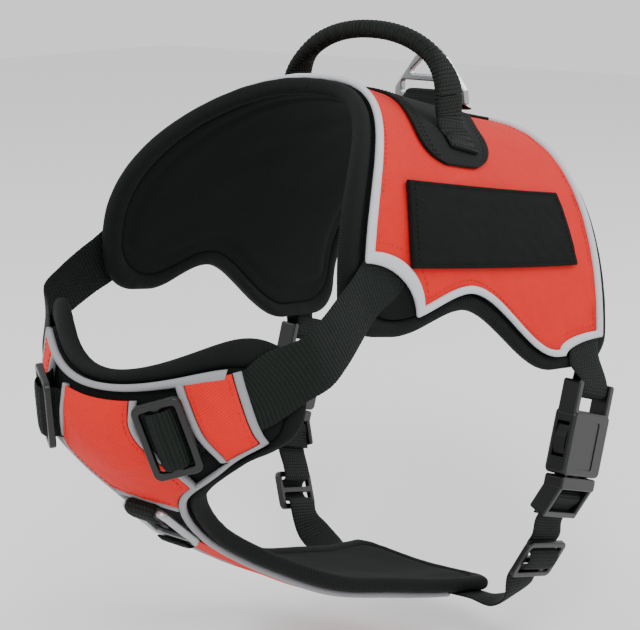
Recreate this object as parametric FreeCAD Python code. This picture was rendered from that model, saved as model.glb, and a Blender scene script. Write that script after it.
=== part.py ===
"""No pull dog harness: padded back panel, Y-shaped chest and belly panel, webbing, buckles, slides and rings.

Millimetres. +X is the dog's left, -Y is towards its head, +Z is up. The origin is in the middle of
the chest cavity, on the plane of symmetry. Soft parts are plain closed solids at their real place.
"""

import FreeCAD, Part
import functools
import math
import os

Vector = FreeCAD.Vector
os.makedirs("parts", exist_ok=True)

# ---- Driving dimensions -------------------------------------------------------------------------
# Back panel: an arch of superellipse sections carried along the ridge of the back.
back_length = 156.0
ridge_front = -8.0
ridge_height = 111.0
ridge_drop = 0.29
ridge_flatten = 0.00036
half_width_front = 70.0
half_width_rear = 88.5
spring_line_front = 35.0
spring_line_rear = -25.0
sweep_front = 65.0
sweep_rear = 28.0
lobe_depth = 138.0
arch_depth = 126.5
leg_depth = 158.0
lobe_end = 24.0
arch_middle = 62.0
leg_start = 118.0

# Chest and belly panel: stations from the neck edge to the belly's rear edge, each the
# centre line's (y, z) and the near edge's (x, y, z).
panel_stations = [
    ((-141, 6), (65, -106, 30)),
    ((-144, -6), (74, -101, 6)),
    ((-145, -17), (73, -105, -16)),
    ((-139, -30), (57, -119, -29)),
    ((-129, -42), (38, -119, -44)),
    ((-116, -55), (28, -113, -56)),
    ((-101, -69), (23, -101, -72)),
    ((-85, -83), (23, -87, -85)),
    ((-58, -102), (26, -60, -103)),
    ((-20, -126), (31, -20, -124)),
    ((20, -142), (35, 22, -138)),
    ((56, -153), (40, 56, -149)),
    ((92, -161), (48, 92, -158)),
]
section_crown = 1.3

# Layers, as heights above the outer face of the padding.
padding_thick = 5.0
cover_thick = 1.0
shell_thick = 1.0
layer_gap = 0.2
edge_margin = 7.5
binding_thick = 7.0
piping_width = 3.4
piping_thick = 3.2

# Webbing and hardware.
webbing_width = 25.0
webbing_thick = 1.6
slide_length = 33.0
slide_width = 21.0
slide_thick = 3.0
slide_rail = 3.0
running_gap = 0.5
buckle_width = 34.0
buckle_thick = 12.0
female_length = 38.0
male_length = 26.0
buckle_wall = 2.6
buckle_bar = 2.0
male_bend = 24.0

# Loop-fastener patches on the flanks.
patch_height = 34.5
patch_top = 74.0
patch_front = 24.0
patch_length = 102.0
patch_slant = 5.0

# Handle: a webbing arch across the back.
handle_place = 59.0
handle_foot_reach = 44.0
handle_foot_place = 58.5
handle_rise = 43.0
handle_webbing = 20.0
handle_thick = 3.6
handle_grip_width = 10.0
handle_grip_thick = 8.0
knuckle_height = 13.0

# Leash ring on the back, and ring on the chest.
ring_place = 98.0
ring_base = 44.0
ring_apex = 12.0
ring_height = 25.0
ring_thick = 4.0
ring_bar = 4.0
ring_slot = 6.5
ring_lift = 6.0
ring_webbing = 28.0
chest_ring_width = 23.0
chest_ring_length = 28.0
chest_ring_lift = 6.0
chest_ring_bar = 3.4
chest_ring_webbing = 17.0

shell_base = webbing_thick + layer_gap
shell_top = shell_base + shell_thick
trim_base = shell_top + layer_gap
trim_top = trim_base + webbing_thick


# ---- Curves and surfaces ------------------------------------------------------------------------
def smoothstep(value):
    """Ease from 0 to 1 with level ends."""
    value = min(max(value, 0.0), 1.0)
    return value * value * (3 - 2 * value)


def through(stations, place):
    """Smooth curve through evenly spaced stations (Catmull-Rom); place counts stations."""
    last = len(stations) - 1
    step = min(max(int(math.floor(place)), 0), last - 1)
    t = place - step
    here, there = stations[step], stations[step + 1]
    before = stations[step - 1] if step else here * 2 - there
    after = stations[step + 2] if step + 2 <= last else there * 2 - here
    bend = before * 2 - here * 5 + there * 4 - after
    twist = here * 3 - there * 3 + after - before
    return here + ((there - before) + (bend + twist * t) * t) * (0.5 * t)


@functools.lru_cache(maxsize=None)
def back_section(along):
    """One cross-section of the back, as (arc length from the ridge, x, z, side angle)."""
    t = along / back_length
    width = half_width_front + (half_width_rear - half_width_front) * (1.45 * t - 0.45 * t * t)
    top = ridge_height - ridge_drop * along + ridge_flatten * along * along
    fall = spring_line_rear - spring_line_front
    spring = spring_line_front + fall * (1.75 * t - 0.75 * t * t)
    power = 2.0 / (2.4 - 0.3 * t)
    rows = [(0.0, 0.0, top, 0.0)]
    steps = 48
    for i in range(1, steps + 1):
        angle = 0.5 * math.pi * i / steps
        x = width * math.sin(angle) ** power
        z = spring + (top - spring) * max(math.cos(angle), 0.0) ** power
        length = rows[-1][0] + math.hypot(x - rows[-1][1], z - rows[-1][2])
        rows.append((length, x, z, math.sin(angle) ** 2))
    return rows


def back_point(across, along):
    """Point of the back, across millimetres from the ridge and along millimetres from its front."""
    rows = back_section(round(along, 4))
    t = along / back_length
    reach = abs(across)
    if reach >= rows[-1][0]:
        x, z, side = rows[-1][1], rows[-1][2] - (reach - rows[-1][0]), 1.0
    else:
        low, high = 0, len(rows) - 1
        while high - low > 1:
            middle = (low + high) // 2
            low, high = (middle, high) if rows[middle][0] <= reach else (low, middle)
        share = (reach - rows[low][0]) / (rows[high][0] - rows[low][0])
        x, z, side = (rows[low][k] + share * (rows[high][k] - rows[low][k]) for k in (1, 2, 3))
    sweep = sweep_front + (sweep_rear - sweep_front) * t
    y = ridge_front + along * 0.985 - sweep * side
    return Vector(math.copysign(x, across), y, z)


def panel_point(across, along):
    """Point of the chest and belly panel: across from -1 to 1, along in stations."""
    centres = [Vector(0, y, z) for (y, z), edge in panel_stations]
    edges = [Vector(*edge) for centre, edge in panel_stations]
    centre = through(centres, along)
    edge = through(edges, along)
    rise = section_crown * across ** 2 - (section_crown - 1) * across ** 4
    y = centre.y + (edge.y - centre.y) * rise
    z = centre.z + (edge.z - centre.z) * rise
    return Vector(edge.x * across, y, z)


def panel_half_width(along):
    """Length of the panel's section from its centre line to its edge."""
    steps = [panel_point(i / 6.0, along) for i in range(7)]
    return sum((b - a).Length for a, b in zip(steps, steps[1:]))


def panel_pace(along):
    """Length of one station step on the panel's centre line."""
    return (panel_point(0.4, along + 0.05) - panel_point(0.4, along - 0.05)).Length / 0.1


class Skin:
    """A surface with its outward normal and the sizes of its two coordinates."""

    def __init__(self, point, step, turn):
        self.point = point
        self.step = step
        self.turn = turn

    def slopes(self, a, b):
        da, db = self.step
        along_a = (self.point(a + da, b) - self.point(a - da, b)) * (0.5 / da)
        along_b = (self.point(a, b + db) - self.point(a, b - db)) * (0.5 / db)
        return along_a, along_b

    def normal(self, a, b):
        along_a, along_b = self.slopes(a, b)
        facing = along_a.cross(along_b) * self.turn
        return facing.normalize()

    def lifted(self, a, b, height):
        return self.point(a, b) + self.normal(a, b) * height

    def beside(self, a, b, shift):
        """Coordinates of the surface point reached by a small shift in space."""
        along_a, along_b = self.slopes(a, b)
        aa, ab, bb = along_a.dot(along_a), along_a.dot(along_b), along_b.dot(along_b)
        sa, sb = shift.dot(along_a), shift.dot(along_b)
        scale = 1.0 / (aa * bb - ab * ab)
        return a + (sa * bb - sb * ab) * scale, b + (sb * aa - sa * ab) * scale


back = Skin(back_point, (0.5, 0.5), 1)
panel = Skin(panel_point, (0.01, 0.02), -1)


# ---- Solids -------------------------------------------------------------------------------------
def shell_of(outer, inner):
    """Closed solid between two grids of points that face each other."""
    faces = []
    rims = []
    for grid in (outer, inner):
        surface = Part.BSplineSurface()
        surface.interpolate(grid)
        faces.append(surface.toShape())
        u0, u1, v0, v1 = surface.bounds()
        rims.append([surface.uIso(u0), surface.uIso(u1), surface.vIso(v0), surface.vIso(v1)])
    for upper, lower in zip(*rims):
        faces.append(Part.makeRuledSurface(upper.toShape(), lower.toShape(), 1))
    skin = Part.makeShell(faces)
    skin.sewShape()
    solid = Part.Solid(skin)
    if solid.Volume < 0:
        solid.reverse()
    return solid


def pad(skin, place, low, high, rows, columns):
    """Closed solid between two heights over a surface; place turns (s, t) into its coordinates."""
    outer, inner = [], []
    for i in range(rows + 1):
        upper_row, lower_row = [], []
        for j in range(columns + 1):
            s, t = i / rows, j / columns
            a, b = place(s, t)
            foot, normal = skin.point(a, b), skin.normal(a, b)
            upper_row.append(foot + normal * high(s, t))
            lower_row.append(foot + normal * low(s, t))
        outer.append(upper_row)
        inner.append(lower_row)
    return shell_of(outer, inner)


def level(height):
    """Constant height, for pad."""
    return lambda s, t: height


def rolled(middle, half):
    """Low and high faces of a rounded roll, for pad; the roll's width is t."""
    def bulge(t):
        return half * math.sqrt(1.0 - 0.8 * (2 * t - 1) ** 2)
    return (lambda s, t: middle - bulge(t)), (lambda s, t: middle + bulge(t))


def even_rows(rows, spacing):
    """Rows of (point, normal) pairs put at even distances along their smooth middle curve."""
    middle = len(rows[0]) // 2
    stops = [0.0]
    for before, after in zip(rows, rows[1:]):
        stops.append(stops[-1] + (after[middle][0] - before[middle][0]).Length)

    def slope(i, column, part):
        if i == 0 or i == len(rows) - 1:
            low, high = (0, 1) if i == 0 else (i - 1, i)
            return (rows[high][column][part] - rows[low][column][part]) * (1 / (stops[high] - stops[low]))
        first, second = stops[i] - stops[i - 1], stops[i + 1] - stops[i]
        behind = (rows[i][column][part] - rows[i - 1][column][part]) * (1 / first)
        ahead = (rows[i + 1][column][part] - rows[i][column][part]) * (1 / second)
        return (behind * second + ahead * first) * (1 / (first + second))

    count = max(int(round(stops[-1] / spacing)), 2)
    result, i = [], 0
    for step in range(count + 1):
        place = stops[-1] * step / count
        while i < len(rows) - 2 and stops[i + 1] < place:
            i += 1
        span = stops[i + 1] - stops[i]
        t = min(max((place - stops[i]) / span, 0.0), 1.0)
        blends = (2 * t ** 3 - 3 * t ** 2 + 1, (t ** 3 - 2 * t ** 2 + t) * span,
                  3 * t ** 2 - 2 * t ** 3, (t ** 3 - t ** 2) * span)
        row = []
        for column in range(len(rows[0])):
            pair = []
            for part in (0, 1):
                values = (rows[i][column][part], slope(i, column, part),
                          rows[i + 1][column][part], slope(i + 1, column, part))
                total = Vector(0, 0, 0)
                for value, blend in zip(values, blends):
                    total = total + value * blend
                pair.append(total)
            row.append((pair[0], pair[1].normalize()))
        result.append(row)
    return result


def ribbon(rows, thick, spacing=2.0):
    """Webbing through rows of (point, normal) pairs, the normals pointing to its outer face."""
    rows = even_rows(rows, spacing)
    outer = [[point + normal * (thick / 2) for point, normal in row] for row in rows]
    inner = [[point - normal * (thick / 2) for point, normal in row] for row in rows]
    return shell_of(outer, inner)


def flat_row(centre, width_way, normal, width):
    """A straight row across a piece of webbing."""
    return [(centre + width_way * (width * k / 4.0), normal) for k in (-2, -1, 0, 1, 2)]


def mirrored(shape):
    """The same piece on the dog's other side."""
    return shape.mirror(Vector(0, 0, 0), Vector(1, 0, 0))


def save(name, *shapes):
    """Write one node."""
    whole = shapes[0] if len(shapes) == 1 else Part.makeCompound(list(shapes))
    whole.exportStep("parts/" + name + ".step")


def save_pair(name, *shapes):
    """Write a left node and its right twin."""
    save("left_" + name, *shapes)
    save("right_" + name, *[mirrored(shape) for shape in shapes])


class Frame:
    """A local frame: x across the webbing, y along it, z out of its face."""

    def __init__(self, origin, along, outward):
        self.origin = Vector(*origin)
        self.y = Vector(*along).normalize()
        outward = Vector(*outward)
        self.z = (outward - self.y * outward.dot(self.y)).normalize()
        self.x = self.y.cross(self.z).normalize()

    def at(self, x, y, z):
        return self.origin + self.x * x + self.y * y + self.z * z

    def place(self, shape):
        rows = [self.x, self.y, self.z, self.origin]
        matrix = FreeCAD.Matrix(
            rows[0].x, rows[1].x, rows[2].x, rows[3].x,
            rows[0].y, rows[1].y, rows[2].y, rows[3].y,
            rows[0].z, rows[1].z, rows[2].z, rows[3].z,
            0, 0, 0, 1,
        )
        placed = shape.copy()
        placed.Placement = FreeCAD.Placement(matrix)
        return placed


def block(x0, x1, y0, y1, z0, z1):
    """Box between two corners."""
    return Part.makeBox(x1 - x0, y1 - y0, z1 - z0, Vector(x0, y0, z0))


def rounded_block(x0, x1, y0, y1, z0, z1, corner):
    """Box with rounded upright edges along z."""
    box = block(x0, x1, y0, y1, z0, z1)
    upright = [edge for edge in box.Edges if abs(edge.Vertexes[0].Z - edge.Vertexes[1].Z) > 1e-6]
    return box.makeFillet(min(corner, 0.45 * (x1 - x0), 0.45 * (y1 - y0)), upright)


def eased(shape, radius):
    """Shape with every edge eased."""
    return shape.makeFillet(radius, shape.Edges)


def bar_along_x(x0, x1, y, z, radius):
    """Round bar across the webbing."""
    return Part.makeCylinder(radius, x1 - x0, Vector(x0, y, z), Vector(1, 0, 0))


# ---- Back panel outline -------------------------------------------------------------------------
def edge_depth(along):
    """Distance from the ridge down to the panel's wavy lower edge."""
    rise = smoothstep((along - lobe_end) / (arch_middle - lobe_end))
    drop = smoothstep((along - arch_middle) / (leg_start - arch_middle))
    return lobe_depth + (arch_depth - lobe_depth) * rise + (leg_depth - arch_depth) * drop


front_cut_depth = 22.0
rear_cut_depth = 7.0


def back_side(t, inset, corner, cut):
    """Near outline of the back panel from its front edge to its rear edge, as (across, along).

    corner is the corners' length along the panel; cut corners curve inwards over the webbing that
    comes out there, and the others curve outwards."""
    first, last = inset, back_length - inset
    corner_share = 0.2
    if corner_share <= t <= 1 - corner_share:
        share = (t - corner_share) / (1 - 2 * corner_share)
        along = first + corner + (last - first - 2 * corner) * share
        return edge_depth(along) - inset, along
    front = t < corner_share
    angle = 0.5 * math.pi * (t if front else 1 - t) / corner_share
    if cut:
        depth = front_cut_depth if front else rear_cut_depth
        back_off, step = depth * math.cos(angle), corner * math.sin(angle)
    else:
        back_off, step = corner * (1 - math.sin(angle)), corner * (1 - math.cos(angle))
    along = first + step if front else last - step
    level_along = first + corner if front else last - corner
    return edge_depth(level_along) - inset - back_off, along


def back_area(inset, corner, cut):
    """Place function of the whole back panel inside an inset outline."""
    def place(s, t):
        across, along = back_side(t, inset, corner, cut)
        straight = inset + (back_length - 2 * inset) * t
        side = 2 * s - 1
        weight = abs(side) ** 3
        return across * side, straight + (along - straight) * weight
    return place


def back_rim(inset, width, corner, cut):
    """Place function of a strip along the near half of the outline, from ridge to ridge."""
    def at(share, depth):
        front_share, rear_share = 0.3, 0.7
        start = back_side(0, depth, corner, cut)
        end = back_side(1, depth, corner, cut)
        if share < front_share:
            return start[0] * share / front_share, start[1]
        if share > rear_share:
            return end[0] * (1 - share) / (1 - rear_share), end[1]
        return back_side((share - front_share) / (rear_share - front_share), depth, corner, cut)
    return lambda s, t: at(s, inset + width * (1 - t))


lining_corner = 15.0
cut_corner = 26.0
low_face, high_face = rolled(-padding_thick / 2, binding_thick / 2)
save("back_lining", pad(back, back_area(edge_margin, lining_corner, False),
                        level(-padding_thick), level(0), 24, 24))
binding = pad(back, back_rim(0, edge_margin - layer_gap, lining_corner, False), low_face, high_face, 56, 6)
save("back_binding", binding, mirrored(binding))

shell_inset = edge_margin + piping_width + layer_gap
save("back_shell", pad(back, back_area(shell_inset, cut_corner, True),
                       level(shell_base), level(shell_top), 24, 24))
piping_middle = shell_base + 0.5 * piping_thick
low_face, high_face = rolled(piping_middle, piping_thick / 2)
piping = pad(back, back_rim(edge_margin, piping_width, cut_corner, True), low_face, high_face, 56, 4)
save("back_piping", piping, mirrored(piping))

# Black reinforcement under the handle and the ring: a saddle that narrows to a lobe on each flank.
saddle_reach = 65.0
saddle_half_length = 40.0
lobe_half_length = 28.0


def saddle_area(s, t):
    """Saddle: long at the ridge, narrow at the handle's ends, with round ends."""
    side = 2 * s - 1
    narrow = smoothstep(abs(side) * 1.5)
    half = saddle_half_length + (lobe_half_length - saddle_half_length) * narrow
    half *= math.sqrt(max(1 - 0.9 * abs(side) ** 8, 0.0))
    middle = handle_place + (1 - narrow) * 16
    return side * saddle_reach, middle + half * (2 * t - 1)


save("handle_saddle", pad(back, saddle_area, level(trim_base), level(trim_top), 24, 8))

spine_width = 12.0
spine_start = handle_place + 16 + saddle_half_length + 1
save("spine_webbing", pad(back, lambda s, t: (spine_width * (s - 0.5),
                                              spine_start + (back_length - shell_inset - 1 - spine_start) * t),
                          level(trim_base), level(trim_top), 4, 8))


def patch_area(s, t):
    """Flank patch, a rectangle that follows the flank."""
    return patch_top + patch_height * s, patch_front + patch_slant * s + patch_length * t


save_pair("loop_patch", pad(back, patch_area, level(trim_base), level(trim_top + 0.6), 8, 14))

# ---- Chest and belly panel ----------------------------------------------------------------------
stations = len(panel_stations) - 1


def panel_area(inset, round_power=10):
    """Place function of the whole chest and belly panel inside an inset outline."""
    def place(s, t):
        side = 2 * s - 1
        first = inset / panel_pace(0.2)
        last = stations - inset / panel_pace(stations - 0.2)
        along = first + (last - first) * t
        ends = (2 * t - 1) ** round_power
        trim = 1 - inset / panel_half_width(along) - 0.06 * ends
        squeeze = 0.9 * (abs(side) ** round_power) * max(0.5 - t, -0.2)
        return side * trim, along + squeeze
    return place


def panel_edge(share, depth):
    """Point of the panel's near outline, from the middle of the neck edge to the rear edge's middle."""
    area = panel_area(depth)
    neck_share, rear_share = 0.25, 0.88
    if share < neck_share:
        return area(0.5 + 0.5 * share / neck_share, 0)
    if share > rear_share:
        return area(0.5 + 0.5 * (1 - share) / (1 - rear_share), 1)
    return area(1, (share - neck_share) / (rear_share - neck_share))


def panel_rim(inset, width):
    """Place function of a strip along the near half of the panel's outline."""
    return lambda s, t: panel_edge(s, inset + width * (1 - t))


panel_margin = 7.0
cover_top = layer_gap + cover_thick
save("chest_belly_lining", pad(panel, panel_area(panel_margin), level(-padding_thick), level(0), 12, 40))
low_face, high_face = rolled(-padding_thick / 2, binding_thick / 2)
binding = pad(panel, panel_rim(0, panel_margin - layer_gap), low_face, high_face, 72, 6)
save("chest_belly_binding", binding, mirrored(binding))
save("chest_belly_cover", pad(panel, panel_area(panel_margin + layer_gap), level(layer_gap),
                              level(cover_top), 12, 40))

band_base = cover_top + layer_gap
band_top = band_base + webbing_thick
red_base = band_top + layer_gap
red_top = red_base + shell_thick


def between(a0, a1, b0, b1):
    """Place function of a four-sided field; each side is a function of the other coordinate."""
    def place(s, t):
        b = b0 + (b1 - b0) * t
        low, high = a0(t), a1(t)
        return low + (high - low) * s, b
    return place


def in_panel(x, along):
    """Across coordinate of the panel at a distance x from the centre line."""
    return x / panel_half_width(along)


# Red fields: a centre field between the slides and one outside each slide.
red_first, red_last = 0.95, 4.9


def centre_edge(t):
    """Half width of the centre field: straight at the neck, flared towards the leg openings."""
    along = red_first + (red_last - red_first) * t
    reach = 20 + 14 * smoothstep((t - 0.15) / 0.6)
    return min(in_panel(reach, along), 1 - (panel_margin + piping_width) / panel_half_width(along))


save("chest_field_centre", pad(panel, between(lambda t: -centre_edge(t), centre_edge, red_first, red_last),
                               level(red_base), level(red_top), 10, 12))


def outer_field(s, t):
    """Field beside the slide, slanting with the strap."""
    along = 0.62 + 2.2 * t
    limit = 1 - (panel_margin + piping_width + 2 * layer_gap) / panel_half_width(along)
    inner = in_panel(43 + 13 * t, along)
    outer = min(in_panel(61 + 12 * t, along), limit)
    return inner + (outer - inner) * s, along


save_pair("chest_field", pad(panel, outer_field, level(red_base), level(red_top), 6, 8))


low_face, high_face = rolled(band_base + 0.5 * piping_thick, piping_thick / 2)
neck_piping_end = 0.205
neck_piping = pad(panel, lambda s, t: panel_edge(neck_piping_end * s, panel_margin + piping_width * (1 - t)),
                  low_face, high_face, 24, 4)
leg_piping = pad(panel, lambda s, t: panel_edge(0.33 + 0.53 * s, panel_margin + piping_width * (1 - t)),
                 low_face, high_face, 44, 4)
save("chest_edge_piping", neck_piping, mirrored(neck_piping), leg_piping, mirrored(leg_piping))


def beside_field(edge, side):
    """Place function of piping that runs down the panel next to a red field's edge."""
    def place(s, t):
        across, along = edge(s)
        away = layer_gap + piping_width * (t if side > 0 else 1 - t)
        return across + side * away / panel_half_width(along), along
    return place


centre_line = beside_field(lambda s: (centre_edge(s), red_first + (red_last - red_first) * s), 1)
centre_piping = pad(panel, centre_line, low_face, high_face, 14, 4)
hem_piping = pad(panel, lambda s, t: (
    (2 * s - 1) * (centre_edge(1) - layer_gap / panel_half_width(red_last)),
    red_last + (layer_gap + piping_width * (1 - t)) / panel_pace(red_last)), low_face, high_face, 10, 4)
save("chest_field_piping", centre_piping, mirrored(centre_piping), hem_piping)
inner_piping = pad(panel, beside_field(lambda s: outer_field(0, s), -1), low_face, high_face, 10, 4)
outer_piping = pad(panel, beside_field(lambda s: outer_field(1, s), 1), low_face, high_face, 10, 4)
save("side_field_piping", inner_piping, outer_piping, mirrored(inner_piping), mirrored(outer_piping))

belly_first, belly_last = 6.9, stations - 0.55
save("belly_field", pad(panel, lambda s, t: panel_area(panel_margin + piping_width + 2 * layer_gap)(
    s, (belly_first + (belly_last - belly_first) * t) / stations), level(red_base), level(red_top), 8, 20))


# ---- Webbing rows -------------------------------------------------------------------------------
def skin_row(skin, place, direction, height, width):
    """Row of webbing that lies on a surface, across a direction of travel."""
    a, b = place
    normal = skin.normal(a, b)
    aside = direction.cross(normal).normalize()
    row = []
    for k in (-2, -1, 0, 1, 2):
        spot = skin.beside(a, b, aside * (width * k / 4.0))
        row.append((skin.lifted(spot[0], spot[1], height), skin.normal(*spot)))
    return row


def frame_rows(frame, path, width):
    """Rows of webbing along a path of (y, z) points in a local frame; the face turns with the path."""
    rows = []
    for i, (y, z) in enumerate(path):
        before, after = path[max(i - 1, 0)], path[min(i + 1, len(path) - 1)]
        run_y, run_z = after[0] - before[0], after[1] - before[1]
        length = math.hypot(run_y, run_z)
        normal = frame.y * (-run_z / length) + frame.z * (run_y / length)
        rows.append(flat_row(frame.at(0, y, z), frame.x, normal, width))
    return rows


def weave_path(under):
    """Webbing's way through a slide: below its rails and over its middle bar."""
    over = slide_thick + running_gap + webbing_thick / 2 + 0.3
    window = (slide_width / 2 - slide_rail + slide_rail / 2) / 2
    half = [(0.0, over), (1.6, over - 0.2), (window - 1.0, 0.62 * over), (window, 0.5 * (over + under)),
            (window + 1.0, 0.7 * under), (window + 2.6, under), (slide_width / 2 + 1.5, under)]
    return [(-y, z) for y, z in reversed(half[1:])] + half


def slide_solid():
    """Three-bar slide in its own frame: its long side across the webbing, its underside at z = 0."""
    half_x, half_y = slide_length / 2, slide_width / 2
    plate = rounded_block(-half_x, half_x, -half_y, half_y, 0, slide_thick, 3.5)
    side = (slide_length - webbing_width - 3 * running_gap) / 2
    for low, high in ((slide_rail / 2, half_y - slide_rail), (slide_rail - half_y, -slide_rail / 2)):
        plate = plate.cut(rounded_block(side - half_x, half_x - side, low, high, -1, slide_thick + 1, 1.2))
    return eased(plate, 0.7)


# ---- Handle, saddle webbing and leash ring on the back ------------------------------------------
def ridge_at(place, height):
    """Height of the ridge's surface, raised, at a place along the back."""
    return back.lifted(0, place, height)


handle_foot = back.lifted(handle_foot_reach, handle_foot_place, trim_top)
handle_y = handle_foot.y
handle_half_span = handle_foot.x
knuckle_radius = handle_webbing / 2
hinge_z = handle_foot.z + knuckle_height


def handle_centre(angle):
    """Centre line of the handle's arch; angle 0 is the near hinge, 90 degrees the crown."""
    x = handle_half_span * math.cos(angle) ** 0.94 if angle < 0.5 * math.pi else 0.0
    return Vector(x, handle_y, hinge_z + (handle_rise - knuckle_height) * math.sin(angle) ** 0.94)


def handle_width(angle):
    """Webbing is flat at the feet and folded narrow at the grip."""
    foot_width = handle_webbing - 0.8
    return foot_width + (handle_grip_width - foot_width) * smoothstep(angle / 0.9)


def grip_thick(angle):
    return handle_thick + (handle_grip_thick - handle_thick) * smoothstep(angle / 0.9)


def handle_half_rows():
    rows_out, rows_in = [], []
    steps = 14
    for i in range(steps + 1):
        angle = 0.5 * math.pi * i / steps
        here = handle_centre(angle)
        nearer = handle_centre(max(angle - 0.02, 0.0))
        further = handle_centre(min(angle + 0.02, 0.5 * math.pi))
        run = (further - nearer).normalize()
        outward = Vector(0, 1, 0).cross(run) * -1
        if i == 0:
            outward = Vector(1, 0, 0)
        if i == steps:
            outward = Vector(0, 0, 1)
        half_w, half_t = handle_width(angle) / 2, grip_thick(angle) / 2
        shares = (-1.0, -0.6, 0.0, 0.6, 1.0)
        swell = (0.55, 0.92, 1.0, 0.92, 0.55)
        rows_out.append([here + Vector(0, half_w * k, 0) + outward * (half_t * w)
                         for k, w in zip(shares, swell)])
        rows_in.append([here + Vector(0, half_w * k, 0) - outward * (half_t * w)
                        for k, w in zip(shares, swell)])
    return rows_out, rows_in


near_out, near_in = handle_half_rows()
flip = lambda row: [Vector(-p.x, p.y, p.z) for p in row]
arch = shell_of(near_out + [flip(row) for row in reversed(near_out[:-1])],
                near_in + [flip(row) for row in reversed(near_in[:-1])])
knuckle_thick = handle_thick - 0.6
knuckle = Part.makeCylinder(knuckle_radius, knuckle_thick,
                            Vector(handle_half_span - knuckle_thick / 2, handle_y, hinge_z), Vector(1, 0, 0))
handle = arch.fuse([knuckle, mirrored(knuckle)])
save("handle", handle)

# Feet: webbing tabs sewn to the saddle, hollowed to the knuckle's round.
foot_low = handle_foot.z - 0.5
tab = block(handle_half_span - handle_thick / 2, handle_half_span + handle_thick / 2,
            handle_y - handle_webbing / 2 + 1.2, handle_y + handle_webbing / 2 - 1.2,
            foot_low - 14.0, hinge_z - 0.5 * knuckle_radius)
socket = Part.makeCylinder(knuckle_radius + running_gap, 40, Vector(handle_half_span - 20, handle_y, hinge_z),
                           Vector(1, 0, 0))
below = pad(back, lambda s, t: (saddle_reach * (0.4 + 1.0 * s), handle_place - 30 + 90 * t),
            level(-30), level(trim_top + layer_gap), 6, 6)
tab = tab.cut(socket).cut(below)
save_pair("handle_foot", tab)

# Leash ring on the back: an A-shaped plate that stands on its base bar inside a webbing loop.
ring_foot = ridge_at(ring_place, trim_top)
bar_centre = Vector(0, ring_foot.y, ring_foot.z + ring_lift - trim_top + 2.6)


def ring_plate():
    """Ring plate in its own plane: x across, y up from the base bar's centre."""
    half, r = ring_base / 2, ring_bar / 2
    left = Vector(-half, -r, 0)
    top = ring_height
    outline = [Vector(-half, -r, 0), Vector(half, -r, 0), Vector(half - 1, ring_slot * 0.8, 0),
               Vector(ring_apex / 2 + 3, top - 4, 0), Vector(ring_apex / 2 - 2, top, 0),
               Vector(2 - ring_apex / 2, top, 0), Vector(-ring_apex / 2 - 3, top - 4, 0),
               Vector(1 - half, ring_slot * 0.8, 0), left]
    plate = Part.Face(Part.makePolygon(outline)).extrude(Vector(0, 0, ring_thick))
    slot = rounded_block(ring_bar - half + 1, half - ring_bar - 1, r, r + ring_slot, -1, ring_thick + 1, 1.5)
    low = r + ring_slot + 3.2
    hole = [Vector(-half + 8.5, low, 0), Vector(half - 8.5, low, 0), Vector(3.2, top - 3.6, 0),
            Vector(-3.2, top - 3.6, 0), Vector(-half + 8.5, low, 0)]
    clip_hole = Part.Face(Part.makePolygon(hole)).extrude(Vector(0, 0, ring_thick + 2))
    clip_hole.translate(Vector(0, 0, -1))
    plate = plate.cut(slot).cut(clip_hole)
    plate.translate(Vector(0, 0, -ring_thick / 2))
    upright = [edge for edge in plate.Edges if abs(edge.Vertexes[0].Z - edge.Vertexes[-1].Z) > ring_thick / 2]
    plate = eased(plate.makeFillet(1.4, upright), 0.8)
    bare = ring_webbing / 2 + 1.5
    plate = plate.cut(block(-bare, bare, -r - 1, r, -ring_thick, ring_thick))
    return plate.fuse(bar_along_x(-bare - 1, bare + 1, 0, 0, r))


ring_frame = Frame(bar_centre, (0, 0, 1), (0, -1, 0))
save("top_ring", ring_frame.place(ring_plate()))

loop_radius = ring_bar / 2 + running_gap + 0.2 + webbing_thick / 2
loop_drop = bar_centre.z - ring_foot.z - webbing_thick / 2 - layer_gap
loop_path = [(-16, -loop_drop - 0.9), (-12.5, -loop_drop - 0.4), (-9, -loop_drop + 0.6), (-6, 0.2)]
for degrees in range(-60, 61, 20):
    loop_path.append((loop_radius * math.sin(math.radians(degrees)),
                      loop_radius * math.cos(math.radians(degrees)) + 0.3))
loop_path += [(6, 0.2), (9, -loop_drop + 0.4), (12.5, -loop_drop - 1.6), (16, -loop_drop - 2.9)]
loop_frame = Frame(bar_centre, (0, 1, 0), (0, 0, 1))
save("top_ring_webbing", ribbon(frame_rows(loop_frame, loop_path, ring_webbing), webbing_thick))

# ---- Chest slides and shoulder straps -----------------------------------------------------------
band_middle = (band_base + band_top) / 2
slide_spot = (0.44, 1.98)
strap_spots = [(0.20, 2.36), (0.28, 2.24), slide_spot, (0.68, 1.52), (0.80, 1.24), (0.93, 0.92)]


slide_run = panel_point(*strap_spots[3]) - panel_point(*strap_spots[1])
slide_lift = red_top + 0.6
chest_frame = Frame(panel.lifted(*slide_spot, slide_lift), slide_run, panel.normal(*slide_spot))
save_pair("chest_slide", chest_frame.place(slide_solid()))

strap_rows = []
for index in (0, 1):
    run = panel_point(*strap_spots[index + 1]) - panel_point(*strap_spots[index])
    strap_rows.append(skin_row(panel, strap_spots[index], run, band_middle, webbing_width))
strap_rows += frame_rows(chest_frame, weave_path(band_middle - slide_lift + 0.3)[2:-2], webbing_width)
beyond_slide = (0.575, 1.74)
strap_rows.append(skin_row(panel, beyond_slide, slide_run, band_middle, webbing_width))
for index in (3, 4, 5):
    run = panel_point(*strap_spots[index]) - panel_point(*strap_spots[index - 1])
    strap_rows.append(skin_row(panel, strap_spots[index], run, band_middle + 0.4 * (index - 3), webbing_width))

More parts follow.
